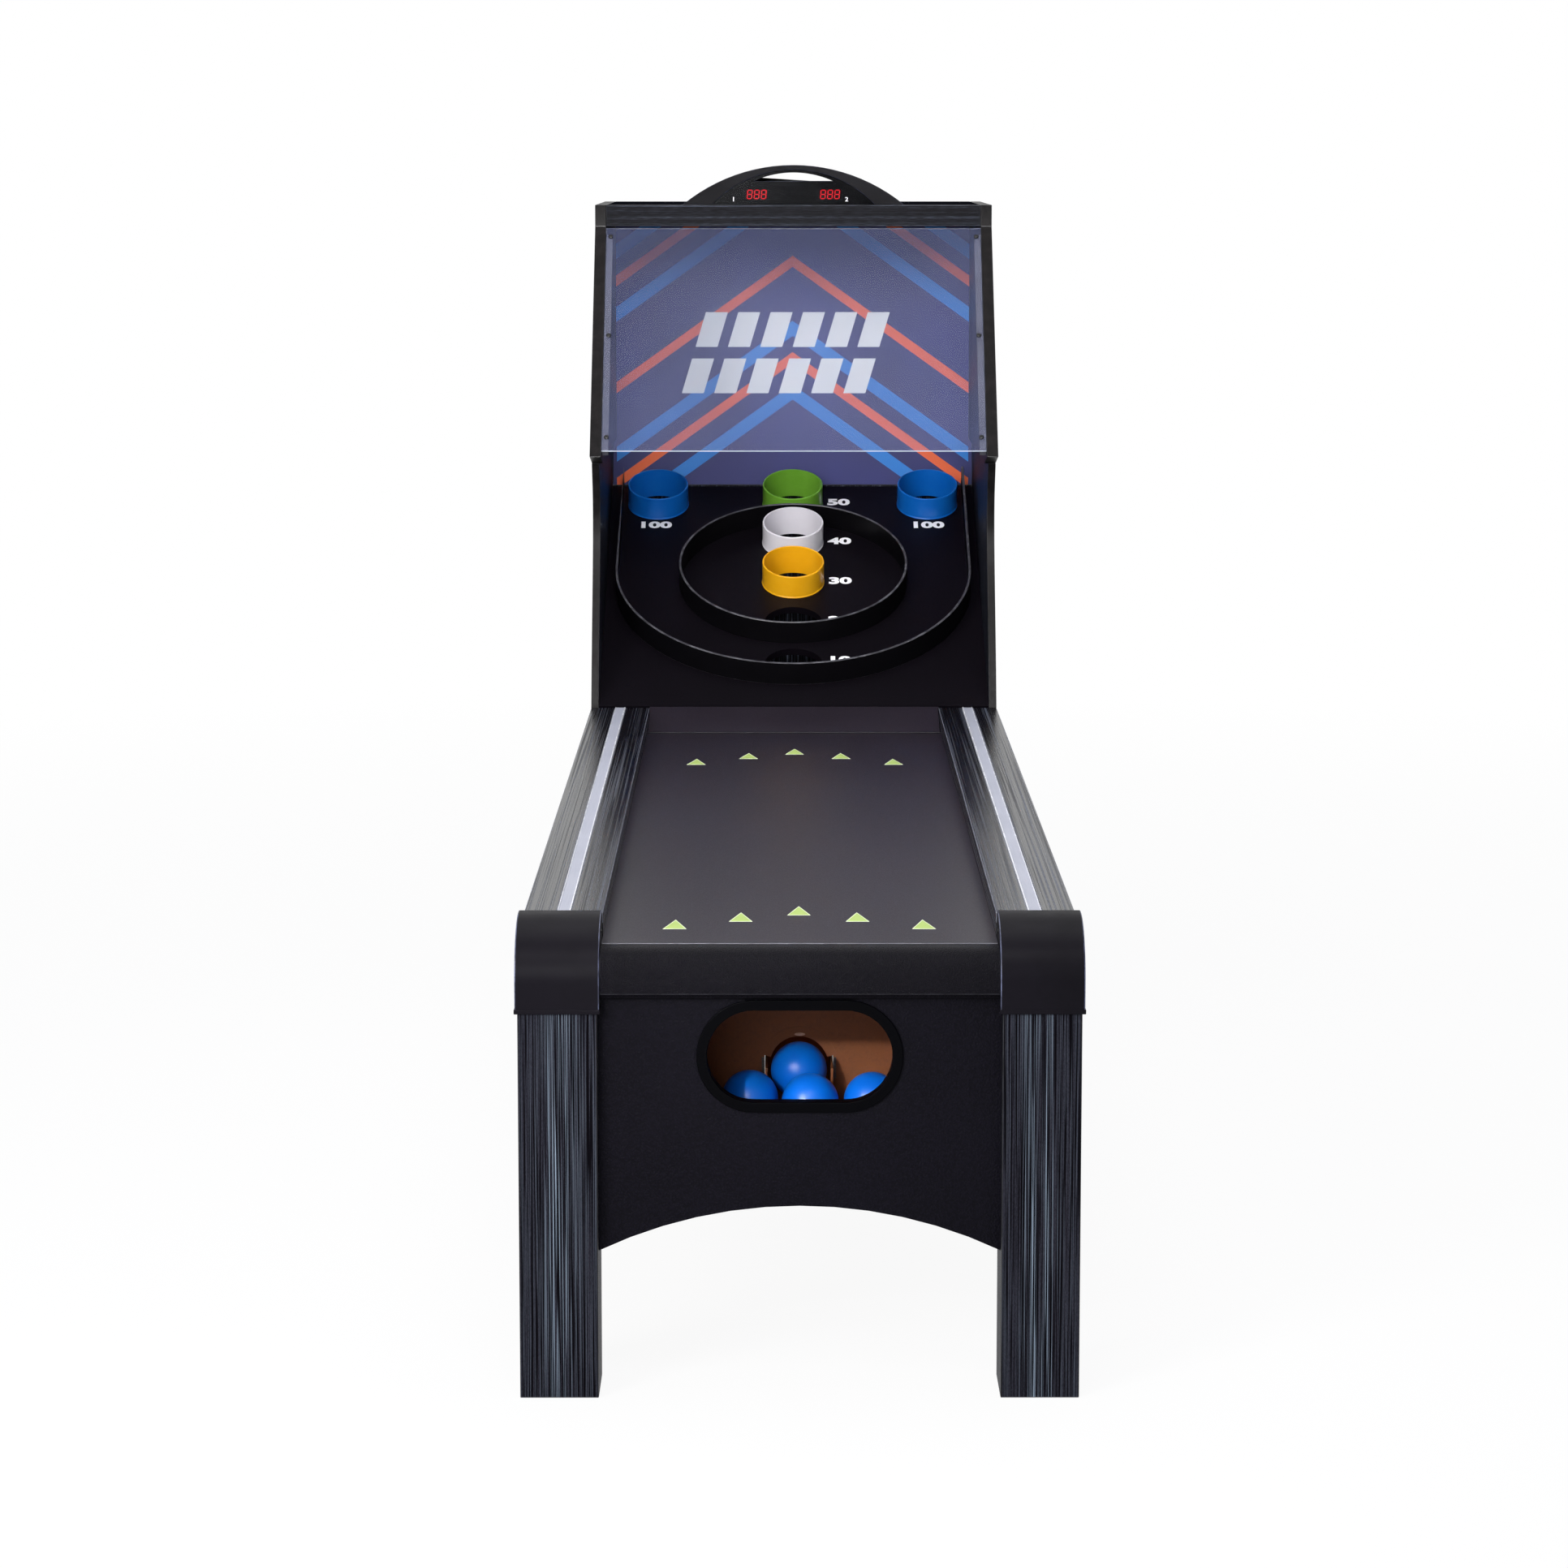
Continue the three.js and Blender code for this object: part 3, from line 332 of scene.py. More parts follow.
def toned(colour, factor):
    """A colour made lighter or darker by a factor."""
    return tuple(part * factor for part in colour[:3]) + (1.0,)


def moulded(name, colour, roughness=0.38, grain=1400, depth=0.00006, rub=0.35, gloss=0.18):
    """Satin plastic with a fine moulded grain and faint handling marks."""
    finish = Finish(name)
    speck = finish.noise(grain, 2, 0.6)
    marks = finish.noise(14, 5, 0.6).spread(0.45, 0.75)
    return finish.done(
        Base_Color=finish.mix(marks, colour, toned(colour, 1 - rub)),
        Roughness=marks.spread(0, 1, roughness, roughness + 0.1),
        Specular_IOR_Level=gloss,
        Normal=finish.relief(speck, depth, 0.6),
    )


def gathered(shapes):
    """Several shapes as one."""
    whole = bmesh.new()
    for shape in shapes:
        spare = bpy.data.meshes.new("spare")
        shape.to_mesh(spare)
        shape.free()
        whole.from_mesh(spare)
        bpy.data.meshes.remove(spare)
    return whole


def plate(outline, thickness, place):
    """A flat outline in millimetres, thickened upwards and put in place."""
    shape = bmesh.new()
    face = shape.faces.new([shape.verts.new((x * MM, y * MM, 0)) for x, y in outline])
    grown = bmesh.ops.extrude_face_region(shape, geom=[face])
    lifted = [part for part in grown["geom"] if isinstance(part, bmesh.types.BMVert)]
    bmesh.ops.translate(shape, verts=lifted, vec=(0, 0, thickness * MM))
    bmesh.ops.recalc_face_normals(shape, faces=shape.faces)
    shape.transform(place)
    return shape


def bar(corner, opposite, ease=0.3, steps=2):
    """A straight bar between two opposite corners in millimetres, with eased edges."""
    shape = bmesh.new()
    size = [abs(length) for length in Vector(opposite) - Vector(corner)]
    middle = (Vector(opposite) + Vector(corner)) / 2
    bmesh.ops.create_cube(shape, size=MM, matrix=Matrix.Diagonal((*size, 1)))
    bmesh.ops.translate(shape, verts=shape.verts, vec=at(*middle))
    bmesh.ops.bevel(
        shape, geom=shape.edges[:], offset=ease * MM, offset_type="OFFSET", affect="EDGES",
        segments=steps, profile=0.5, material=-1, clamp_overlap=True)
    return shape


def facing(place, direction, spin=0.0):
    """A place whose Z axis points in a direction."""
    aimed = Vector(direction).to_track_quat("Z", "Y").to_matrix().to_4x4()
    return Matrix.Translation(place) @ aimed @ Matrix.Rotation(spin, 4, "Z")


def screw(place, radius, height):
    """A pan-head screw with a cross recess. Its underside is at the place's origin."""
    shape = bmesh.new()
    arm, half, recess = radius * 0.55, radius * 0.13, height * 0.35
    cross = [
        (arm, -half), (arm, half), (half, half), (half, arm), (-half, arm), (-half, half),
        (-arm, half), (-arm, -half), (-half, -half), (-half, -arm), (half, -arm), (half, -half)]
    floor_ring = [shape.verts.new((x * MM, y * MM, recess * MM)) for x, y in cross]
    shape.faces.new(floor_ring)
    rings = [[shape.verts.new((x * MM, y * MM, height * MM)) for x, y in cross]]
    dome = ((0.66, 1.0), (0.88, 0.82), (1.0, 0.45), (1.0, 0.0))
    sides = 24
    for share, level in dome:
        ring = []
        for step in range(sides):
            angle = 2 * math.pi * step / sides
            across = math.cos(angle) * share * radius
            along = math.sin(angle) * share * radius
            ring.append(shape.verts.new(Vector((across, along, level * height)) * MM))
        rings.append(ring)
    loops = [floor_ring, *rings]
    for lower, upper in zip(loops, loops[1:]):
        edges = []
        for loop in (lower, upper):
            for first, second in zip(loop, loop[1:] + loop[:1]):
                pair = (first, second)
                edges.append(shape.edges.get(pair) or shape.edges.new(pair))
        bmesh.ops.bridge_loops(shape, edges=edges)
    shape.faces.new(rings[-1])
    bmesh.ops.recalc_face_normals(shape, faces=shape.faces)
    shape.transform(place)
    return shape


black_plastic = moulded("black_plastic", paint(16, 14, 20), gloss=0.06)
black_screw = moulded("black_screw", paint(9, 9, 11), 0.3, gloss=0.4)
# Painted highlight: the caps' eased edges are a pale bluish grey, standing for the light along
# their inner edges.
cap_edge_highlight = edge_wear_and_highlight("cap_edge_highlight", paint(44, 46, 64), paint(92, 98, 126))
rim_low, rim_high, rim_depth = 458, 463.5, 2.4
for side, sign in SIDES:
    dressed(f"corner_cap_{side}", [black_plastic, cap_edge_highlight], 1.3, 3, turn=50)
    outer, inner = sign * 330.9, sign * 231.1
    rim = [
        bar((outer, -0.9, rim_low), (inner, 1.8, rim_high), 0.9, 3),
        bar((outer, 0, rim_low), (outer - sign * rim_depth, 94.7, rim_high), 0.9, 3),
        bar((inner, 0, rim_low), (inner + sign * rim_depth, 19.6, rim_high), 0.9, 3),
    ]
    fitted(f"cap_rim_{side}", gathered(rim), [black_plastic])
    heads = [
        screw(facing(at(sign * 232, 62, z), (-sign, 0, 0), 0.4), 2.6, 1.1) for z in (544, 486)]
    fitted(f"cap_screws_{side}", gathered(heads), [black_screw])


# Nose rail and apron, boards wrapped in a matt black film with a pebbled grain. The nose
# is rounded over, and the thin pale bead along the deck's front edge behind it is a painted
# highlight, the fine line of light where the deck meets the nose.
def pebbled(name, colour, pitch=420, depth=0.0006, roughness=0.4, gloss=0.1):
    """Black film with a pebbled grain, like coarse leather, with painted shade in the creases
    between the pebbles and lighter tops.
    """
    finish = Finish(name)
    pebble = finish.node("ShaderNodeTexVoronoi", {}, {"Vector": finish.place(), "Scale": pitch})
    crease_and_shade = pebble.spread(0.0, 0.75)
    fine = finish.noise(pitch * 3, 2, 0.6)
    cloud = finish.noise(9, 3, 0.5)
    return finish.done(
        # Painted shade: the creases are darker than the pebble tops, in the colour itself.
        Base_Color=finish.mix(crease_and_shade * (0.5 + cloud), toned(colour, 2.2), colour),
        Roughness=crease_and_shade.spread(0, 1, roughness, roughness + 0.14),
        Specular_IOR_Level=gloss,
        Normal=finish.relief(1 - crease_and_shade + fine * 0.3, depth, 0.7),
    )


apron_film = pebbled("apron_film", paint(6, 5, 11), gloss=0.06)
film_edge = edge_wear_and_highlight("film_edge", paint(20, 19, 24), paint(38, 38, 44), 0.15)
nose_film = pebbled("nose_film", paint(4, 3, 8), 640, 0.0009, 0.3, 0.08)
dressed("lane_nose", [nose_film, film_edge], 0.6, turn=40)
dressed("front_apron", [apron_film, film_edge], 0.8, turn=40)
# Painted highlight: a thin pale bead along the deck's front edge stands for the line of light
# there.
deck_edge_highlight = edge_wear_and_highlight("deck_edge_highlight", paint(84, 84, 92), paint(112, 112, 122))
edge_highlight_bead = bar((-231, 45.8, 531.2), (231, 48.4, 532.8), 0.7, 3)
fitted("deck_edge_highlight_bead", edge_highlight_bead, [deck_edge_highlight])


# Frame of the ball slot, a moulded black oval whose sleeve lines the cut edge of the board.
# It is pressed into the apron from the front.
slot_plastic = moulded("slot_plastic", paint(2, 2, 4), 0.42, gloss=0.03)
dressed("slot_bezel", [slot_plastic, slot_plastic], 1.2, 3, turn=40)


# Skirts and hollow rails of the lane, in black laminate with fine pores along the lane.
# A pale strip with a raised lip on each edge is let into a groove in each rail's top.
def drawn_out(pitch, along, length):
    """The scales of a noise that is drawn out along one axis: 0, 1 or 2."""
    scales = [pitch, pitch, pitch]
    scales[along] = length
    return scales


def laminate(
        name, along, pale=1.0, pitch=1150, gloss=0.06, polish=0.36, wear=0.14, grain=0.35):
    """Black wood-effect laminate, with its pores along one axis: 0, 1 or 2."""
    finish = Finish(name)
    pores = finish.noise(drawn_out(pitch, along, 1.3), 1, 0.5).spread(0.5, 0.62)
    hairs = finish.noise(drawn_out(2400, along, 60), 1, 0.5).spread(0.42, 0.62)
    bands = finish.noise(drawn_out(170, along, 0.9), 2, 0.5).spread(0.42, 0.7, 0.06, 0.8)
    streak = pores * bands * (0.3 + 0.7 * hairs) * pale
    ground = finish.mix(hairs, paint(1, 1, 3), paint(19, 19, 25))
    return finish.done(
        Base_Color=finish.mix(streak.spread(0, 1), ground, paint(150, 160, 186)),
        Roughness=pores.spread(0, 1, polish, polish + wear),
        Specular_IOR_Level=gloss,
        Normal=finish.relief(pores * 0.6 + hairs * 0.4, 0.00025, grain),
    )


rail_laminate = laminate(
    "rail_laminate", 1, 0.45, 760, gloss=0.48, polish=0.22, wear=0.24, grain=0.13)
# Painted highlight: the rails' eased top edges are pale grey for the thin line of light along
# them.
rail_edge_highlight = edge_wear_and_highlight("rail_edge_highlight", paint(90, 92, 104), paint(150, 154, 168))
skirt_laminate = laminate("skirt_laminate", 1, 0.8)
strip_finish = Finish("strip_plastic")
brushed = strip_finish.noise((900, 14, 900), 3, 0.6)
strip_cloud = strip_finish.noise(7, 3, 0.5)
strip_plastic = strip_finish.done(
    Base_Color=strip_finish.mix(strip_cloud, paint(160, 163, 178), paint(182, 184, 197)),
    Roughness=brushed.spread(0.3, 0.7, 0.34, 0.5),
    Specular_IOR_Level=0.3,
    Normal=strip_finish.relief(brushed, 0.00005, 0.5),
)
# Painted highlight: the strip's lips and eased edges are near white, standing for the bright
# lines of light along them.
strip_lip_highlight = moulded("strip_lip_highlight", paint(236, 237, 243), 0.25, 900, rub=0.1, gloss=0.5)
for side, sign in SIDES:
    dressed(f"side_skirt_{side}", [skirt_laminate, rubbed_edge], 0.8, turn=40)
    dressed(f"rail_inner_{side}", [rail_laminate, rubbed_edge], 0.6)
    dressed(f"rail_top_{side}", [rail_laminate, rail_edge_highlight], 0.9)
    dressed(f"rail_strip_{side}", [strip_plastic, strip_lip_highlight], 0.4)
    lips = [
        bar((sign * near, 95.2, 560.2), (sign * far, 1876.5, 561.3), 0.4)
        for near, far in ((269.3, 270.8), (284.0, 285.1))
    ]
    fitted(f"strip_lips_{side}", gathered(lips), [strip_lip_highlight])


# Film of the lane, satin charcoal, with rows of pale arrows printed at the near end and
# before the ramp. It covers the top of the deck and of the ramp at its far end.
lane_finish = Finish("lane_film")
lane_grain = lane_finish.noise(760, 3, 0.65)
lane_cloud = lane_finish.noise((6, 1.6, 6), 3, 0.5)
lane_scuff = lane_finish.noise((260, 9, 260), 3, 0.7).spread(0.6, 0.82)
lane_tone = lane_finish.mix(lane_cloud, paint(28, 23, 31), paint(36, 31, 39))
lane_film = lane_finish.done(
    Base_Color=lane_finish.mix(lane_scuff * 0.5, lane_tone, paint(66, 62, 72)),
    Roughness=lane_grain.spread(0.3, 0.7, 0.34, 0.46),
    Specular_IOR_Level=0.31,
    Normal=lane_finish.relief(lane_grain, 0.00022, 0.5),
)
arrow_ink = moulded("arrow_ink", paint(176, 200, 112), 0.5, 700, rub=0.12)
arrow_border = moulded("arrow_border", paint(236, 244, 214), 0.5, 700, rub=0.1)
deck_top = 532.0
arrow_columns = (-148, -70, 0, 70, 148)
arrow_rows = {"near": (141, 188, 229, 188, 141), "far": (1453, 1513, 1558, 1513, 1453)}
for row, bases in arrow_rows.items():
    inks, borders = [], []
    for x, y in zip(arrow_columns, bases):
        base = Matrix.Translation(at(x, y, deck_top))
        borders.append(plate([(-14.3, -2.6), (14.3, -2.6), (0, 57)], 0.1, base))
        inks.append(plate([(-12.5, 0), (12.5, 0), (0, 52)], 0.22, base))
    fitted(f"arrow_borders_{row}", gathered(borders), [arrow_border])
    fitted(f"arrows_{row}", gathered(inks), [arrow_ink])


# Raw brown fibreboard: the undersides of the deck and the ramp, the tray and its back wall,
# and the open-topped chute that brings the balls down to them. Two small steel brackets
# hold the chute's mouth. An arch of thin board with an oval wooden plug frames the doorway
# above it, and a bent hood behind the doorway covers the chute.
board_finish = Finish("raw_board")
fibre = board_finish.noise(340, 5, 0.72)
flake = board_finish.noise(90, 3, 0.6).spread(0.4, 0.65)
board_tone = board_finish.mix(fibre, paint(92, 45, 24), paint(148, 90, 56))
raw_board = board_finish.done(
    Base_Color=board_finish.mix(flake, board_tone, paint(127, 73, 42)),
    Roughness=fibre.spread(0.3, 0.7, 0.55, 0.75),
    Specular_IOR_Level=0.3,
    Normal=board_finish.relief(fibre, 0.0004, 0.6),
)
sawn_edge = edge_wear_and_highlight("sawn_edge", paint(110, 70, 42), paint(160, 112, 72))


def bare_below(face):
    return 1 if face.normal.z < -0.5 else 0


for node in ("lane_deck", "ramp"):
    dressed(node, [lane_film, raw_board, film_edge], 0.5, sort=bare_below)
for node in ("ball_tray", "tray_back"):
    dressed(node, [raw_board, sawn_edge], 0.5)
dressed("return_chute", [raw_board, sawn_edge], 0.4)
steel_finish = Finish("bracket_steel")
rolled = steel_finish.noise((700, 60, 700), 3, 0.6)
bracket_steel = steel_finish.done(
    Base_Color=steel_finish.mix(rolled, paint(84, 78, 76), paint(128, 120, 116)),
    Metallic=0.85,
    Roughness=rolled.spread(0.3, 0.7, 0.28, 0.46),
    Normal=steel_finish.relief(rolled, 0.00008, 0.5),
)
for side, sign in SIDES:
    inner, outer, wing = sign * 41.3, sign * 42.5, sign * 45
    parts = [
        bar((inner, 196, 334), (outer, 215.0, 360), 0.2),
        bar((inner, 213.8, 334), (wing, 215.0, 360), 0.2),
        screw(facing(at(outer, 203, 347), (sign, 0, 0), 0.9), 2.4, 0.9),
    ]
    fitted(f"chute_bracket_{side}", gathered(parts), [bracket_steel])


def arc(radius, start, end):
    """Points on an arc in millimetres, from one angle in degrees to another."""
    steps = 40
    turns = [math.radians(start + (end - start) * step / steps) for step in range(steps + 1)]
    return [(radius * math.cos(angle), radius * math.sin(angle)) for angle in turns]


to_front = (0, -1, 0)
doorway_middle = 350.7
doorway = arc(47, 16, 164) + arc(35.2, 164, 16)
arch = plate(doorway, 0.9, facing(at(0, 214.95, doorway_middle), to_front))
fitted("doorway_arch", arch, [raw_board])
vault = [(46, -34), *arc(46, 0, 180), (-46, -34), (-43, -34), *arc(43, 180, 0), (43, -34)]
hood = plate(vault, 90, facing(at(0, 317.2, doorway_middle), to_front))
fitted("chute_hood", hood, [raw_board])
plug_turns = [step * math.pi / 16 for step in range(32)]
oval = [(6.5 * math.cos(turn), 1.8 * math.sin(turn)) for turn in plug_turns]
plug = plate(oval, 0.6, facing(at(1, 214.1, 388.4), to_front))
plug_wood = edge_wear_and_highlight("plug_wood", paint(190, 140, 116), paint(226, 188, 170))
fitted("tray_plug", plug, [plug_wood])


# Four hollow balls of glossy blue plastic, each moulded in two halves that leave a fine
# line round the middle. Three lie in the tray and the fourth waits in the chute's mouth.
ball_finish = Finish("ball_plastic")
ball_swirl = ball_finish.noise(16, 4, 0.55)
ball_scuff = ball_finish.noise(420, 3, 0.7).spread(0.6, 0.8)
ball_tone = ball_finish.mix(ball_swirl, paint(0, 96, 204), paint(2, 108, 217))
ball_plastic = ball_finish.done(
    Base_Color=ball_finish.mix(ball_scuff * 0.25, ball_tone, paint(80, 152, 228)),
    Roughness=ball_scuff.spread(0, 1, 0.36, 0.5),
    Specular_IOR_Level=0.35,
    Coat_Weight=0.12,
    Coat_Roughness=0.05,
    Normal=ball_finish.relief(ball_swirl, 0.0003, 0.1),
)
tilt = random.Random(7)
ball_bodies = {
    "ball_1": "ball_left", "ball_2": "ball_front", "ball_3": "ball_right",
    "ball_4": "ball_return",
}
radius, seam, rings = 33.95, 0.05, 48
for node, body in ball_bodies.items():
    low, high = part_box(node)
    ball = bmesh.new()
    section = [ball.verts.new((0, 0, radius * MM))]
    for step in range(1, rings):
        angle = math.pi * step / rings
        reach = radius + (seam if step == rings / 2 else -seam)
        out, up = math.sin(angle) * reach, math.cos(angle) * reach
        section.append(ball.verts.new((out * MM, 0, up * MM)))
    section.append(ball.verts.new((0, 0, -radius * MM)))
    seams = [ball.edges.new(pair) for pair in zip(section, section[1:])]
    bmesh.ops.spin(
        ball, geom=section + seams, cent=(0, 0, 0), axis=(0, 0, 1), dvec=(0, 0, 0),
        angle=2 * math.pi, steps=64, use_merge=True)
    bmesh.ops.remove_doubles(ball, verts=ball.verts, dist=0.000002)
    bmesh.ops.recalc_face_normals(ball, faces=ball.faces)
    forwards = Matrix.Rotation(tilt.uniform(0, 3), 4, "X")
    aside = Matrix.Rotation(tilt.uniform(0, 3), 4, "Y")
    ball.transform(Matrix.Translation((low + high) / 2) @ (forwards @ aside))
    fitted(f"blue_{node}", ball, [ball_plastic], body, [node])


# Boards inside the machine that carry the deck and lead the balls. The middle support, the
# sloped catcher and its two fences are raw fibreboard, and the cabinet's front board is
# wrapped in the apron's film.
for node in ("deck_support", "catch_board", "catch_fence_left", "catch_fence_right"):
    dressed(node, [raw_board, sawn_edge], 0.5)
dressed("cabinet_front", [apron_film, film_edge], 0.6)


# Target board, a black-filmed board tilted to the back, with a round hole for each score.
# The numbers are printed in bold white beside the cups.
board_tilt = math.radians(25.8)
board_place = Matrix.Translation(at(0, 1877, 563)) @ Matrix.Rotation(board_tilt, 4, "X")


def on_board(x, u, w=0.0):
    """A place on the target board: across, up the slope and above it, in millimetres."""
    return board_place @ Matrix.Translation(Vector((x, u, w)) * MM)


def marking(text, height, widen, weight, place):
    """A printed figure, as thin raised ink of a given height."""
    half_ink = 0.004
    curve = bpy.data.curves.new("marking", "FONT")
    curve.body = text
    curve.align_x = "CENTER"
    curve.offset = weight
    curve.extrude = half_ink
    curve.resolution_u = 6
    holder = bpy.data.objects.new("marking", curve)
    bpy.context.scene.collection.objects.link(holder)
    bpy.context.view_layer.update()
    shown = holder.evaluated_get(bpy.context.evaluated_depsgraph_get())
    mesh = bpy.data.meshes.new_from_object(shown)
    bpy.data.objects.remove(holder)
    bpy.data.curves.remove(curve)
    shape = bmesh.new()
    shape.from_mesh(mesh)
    bpy.data.meshes.remove(mesh)
    rows = [vert.co.y for vert in shape.verts]
    columns = [vert.co.x for vert in shape.verts]
    tall = max(rows) - min(rows)
    across = (max(columns) + min(columns)) / 2
    upwards = (max(rows) + min(rows)) / 2
    bmesh.ops.translate(shape, verts=shape.verts, vec=-Vector((across, upwards, -half_ink)))
    scale = height * MM / tall
    shape.transform(place @ Matrix.Diagonal((scale * widen, scale, scale, 1)))
    return shape


board_film = pebbled("board_film", paint(7, 5, 9), 900, 0.0001, 0.36)
# Painted highlight: the board's eased edges, round each hole too, are paler for the light they
# catch.
hole_edge_highlight = edge_wear_and_highlight("hole_edge_highlight", paint(12, 11, 13), paint(40, 38, 42))
dressed("target_board", [board_film, hole_edge_highlight], 0.7, turn=40)
white_ink = moulded("white_ink", paint(246, 245, 250), 0.5, 700, rub=0.06)
figures = [
    ("100", -233, 561), ("100", 233, 561), ("50", 79, 637), ("40", 79, 508), ("30", 79, 380),
    ("20", 77, 258), ("10", 77, 136),
]
printed = [
    marking(text, 21.5, widen=1.42, weight=0.045, place=on_board(x, u, 0.02))
    for text, x, u in figures
]
fitted("score_figures", gathered(printed), [white_ink])


# Five open cups in glossy coloured plastic, pushed through the board up to a small collar,
# and the two black walls round them: a ring, and a U whose arms run up to the back.
def turned(profile, place, steps=72):
    """A closed section of radius and height in millimetres, spun round its axis."""
    shape = bmesh.new()
    corners = [shape.verts.new((r * MM, 0, z * MM)) for r, z in profile]
    seams = [shape.edges.new(pair) for pair in zip(corners, corners[1:] + corners[:1])]
    bmesh.ops.spin(
        shape, geom=corners + seams, cent=(0, 0, 0), axis=(0, 0, 1), dvec=(0, 0, 0),
        angle=2 * math.pi, steps=steps, use_merge=True)
    bmesh.ops.remove_doubles(shape, verts=shape.verts, dist=0.000002)
    bmesh.ops.recalc_face_normals(shape, faces=shape.faces)
    shape.transform(place)
    return shape


def cup_plastic(name, colour, pale):
    """Glossy coloured plastic, a little paler where it is rubbed."""
    finish = Finish(name)
    swirl = finish.noise(26, 4, 0.6)
    scuff = finish.noise(50, 3, 0.6).spread(0.5, 0.75)
    return finish.done(
        Base_Color=finish.mix(scuff * 0.1, finish.mix(swirl * 0.4, colour, pale), pale),
        Roughness=scuff.spread(0, 1, 0.28, 0.38),
        Specular_IOR_Level=0.5,
        Normal=finish.relief(swirl, 0.0002, 0.25),
    )


blue_plastic = cup_plastic("blue_plastic", paint(2, 86, 176), paint(30, 122, 206))
green_plastic = cup_plastic("green_plastic", paint(92, 150, 38), paint(134, 182, 76))
white_plastic = cup_plastic("white_plastic", paint(214, 210, 218), paint(236, 234, 238))
yellow_plastic = cup_plastic("yellow_plastic", paint(222, 156, 8), paint(242, 186, 44))
cups = [
    ("cup_100_left", -231.5, 629.8, blue_plastic, "blue_plastic"),
    ("cup_100_right", 231.5, 629.8, blue_plastic, "blue_plastic"),
    ("cup_50", 0, 629.8, green_plastic, "green_plastic"),
    ("cup_40", 0, 502.8, white_plastic, "white_plastic"),
    ("cup_30", 0, 375.7, yellow_plastic, "yellow_plastic"),
]
cup_section = [
    (48.5, -11.8), (51.4, -11.8), (51.4, 0.2), (52.3, 0.2), (52.3, 1.2), (51.5, 2.6),
    (51.5, 38.9), (51.1, 40.0), (50.3, 40.3), (49.2, 40.3), (48.6, 40.0), (48.5, 39.2),
]
for node, x, u, finish, slot in cups:
    cup = turned(cup_section, on_board(x, u))
    fitted(node + "_moulded", cup, [finish], stands_for=[node])
# Painted highlight: the walls' tops and eased edges are grey, standing for the thin line of
# light along their top edges.
wall_top_highlight = edge_wear_and_highlight("wall_top_highlight", paint(52, 51, 56), paint(96, 96, 102))
wall_plastic = moulded("wall_plastic", paint(9, 8, 11), 0.36, gloss=0.1)
ring_section = [
    (186.5, 0.3), (190.5, 0.3), (190.5, 39.5), (189.9, 40.3), (187.1, 40.3), (186.5, 39.5),
]


def rise(face):
    """How far a face looks straight away from the target board: 1 for a wall's flat top."""
    return (board_place.to_3x3().inverted() @ face.normal).z


def top_of_wall(face):
    return 1 if rise(face) > 0.8 else 0


ring = turned(ring_section, on_board(0, 375.7), 160)
ring.normal_update()
# The ring's faces that look up from the board take the painted highlight.
for face in ring.faces:
    face.material_index = 1 if rise(face) > 0.3 else 0
fitted(
    "inner_ring_moulded", ring, [wall_plastic, wall_top_highlight],
    stands_for=["inner_ring"])
dressed(
    "outer_ring", [wall_plastic, wall_top_highlight, wall_top_highlight], 0.6,
    sort=top_of_wall, turn=40)


# Cabinet: two shaped sides with a taped front edge, a back board and the printed panel that
# stands above the target board. A bolt head shows on the inside of each side.
def taped(face):
    return 1 if abs(face.normal.x) < 0.5 else 0


side_laminate = laminate("side_laminate", 2, 0.6)
edge_tape = edge_wear_and_highlight("edge_tape", paint(12, 10, 11), paint(26, 23, 24), 0.08)
for side, sign in SIDES:
    dressed(
        f"cabinet_side_{side}", [side_laminate, edge_tape, rubbed_edge], 0.7,
        sort=taped, turn=40)
    bolt = screw(facing(at(sign * 312, 2200, 640), (-sign, 0, 0), 0.2), 3, 1.2)
    fitted(f"side_bolt_{side}", bolt, [black_screw])
dressed("cabinet_back", [side_laminate, rubbed_edge], 0.7)


# Printed back panel: a thin board with a navy ground and bold stripes in blue and orange.
# The stripes are our own plain pattern of nested chevrons, with a row of slanted bars.
ground_finish = Finish("panel_ground")
weave = ground_finish.noise(500, 3, 0.6)
wash = ground_finish.noise((5, 5, 3), 3, 0.5).spread(0.35, 0.65)
panel_ground = ground_finish.done(
    Base_Color=ground_finish.mix(wash, paint(13, 17, 84), paint(19, 25, 104)),
    Roughness=weave.spread(0.3, 0.7, 0.4, 0.52),
    Normal=ground_finish.relief(weave, 0.00008, 0.4),
)
stand_up = Matrix.Rotation(math.pi / 2, 4, "X")


def bare_behind(face):
    return 1 if face.normal.y > 0.5 else 0


def ink(name, colour):
    """Screen-printed ink with a faint mottle."""
    finish = Finish(name)
    mottle = finish.noise(420, 3, 0.6)
    return finish.done(
        Base_Color=finish.mix(mottle, colour, toned(colour, 0.86)),
        Roughness=mottle.spread(0.3, 0.7, 0.42, 0.5),
        Normal=finish.relief(mottle, 0.00006, 0.4),
    )


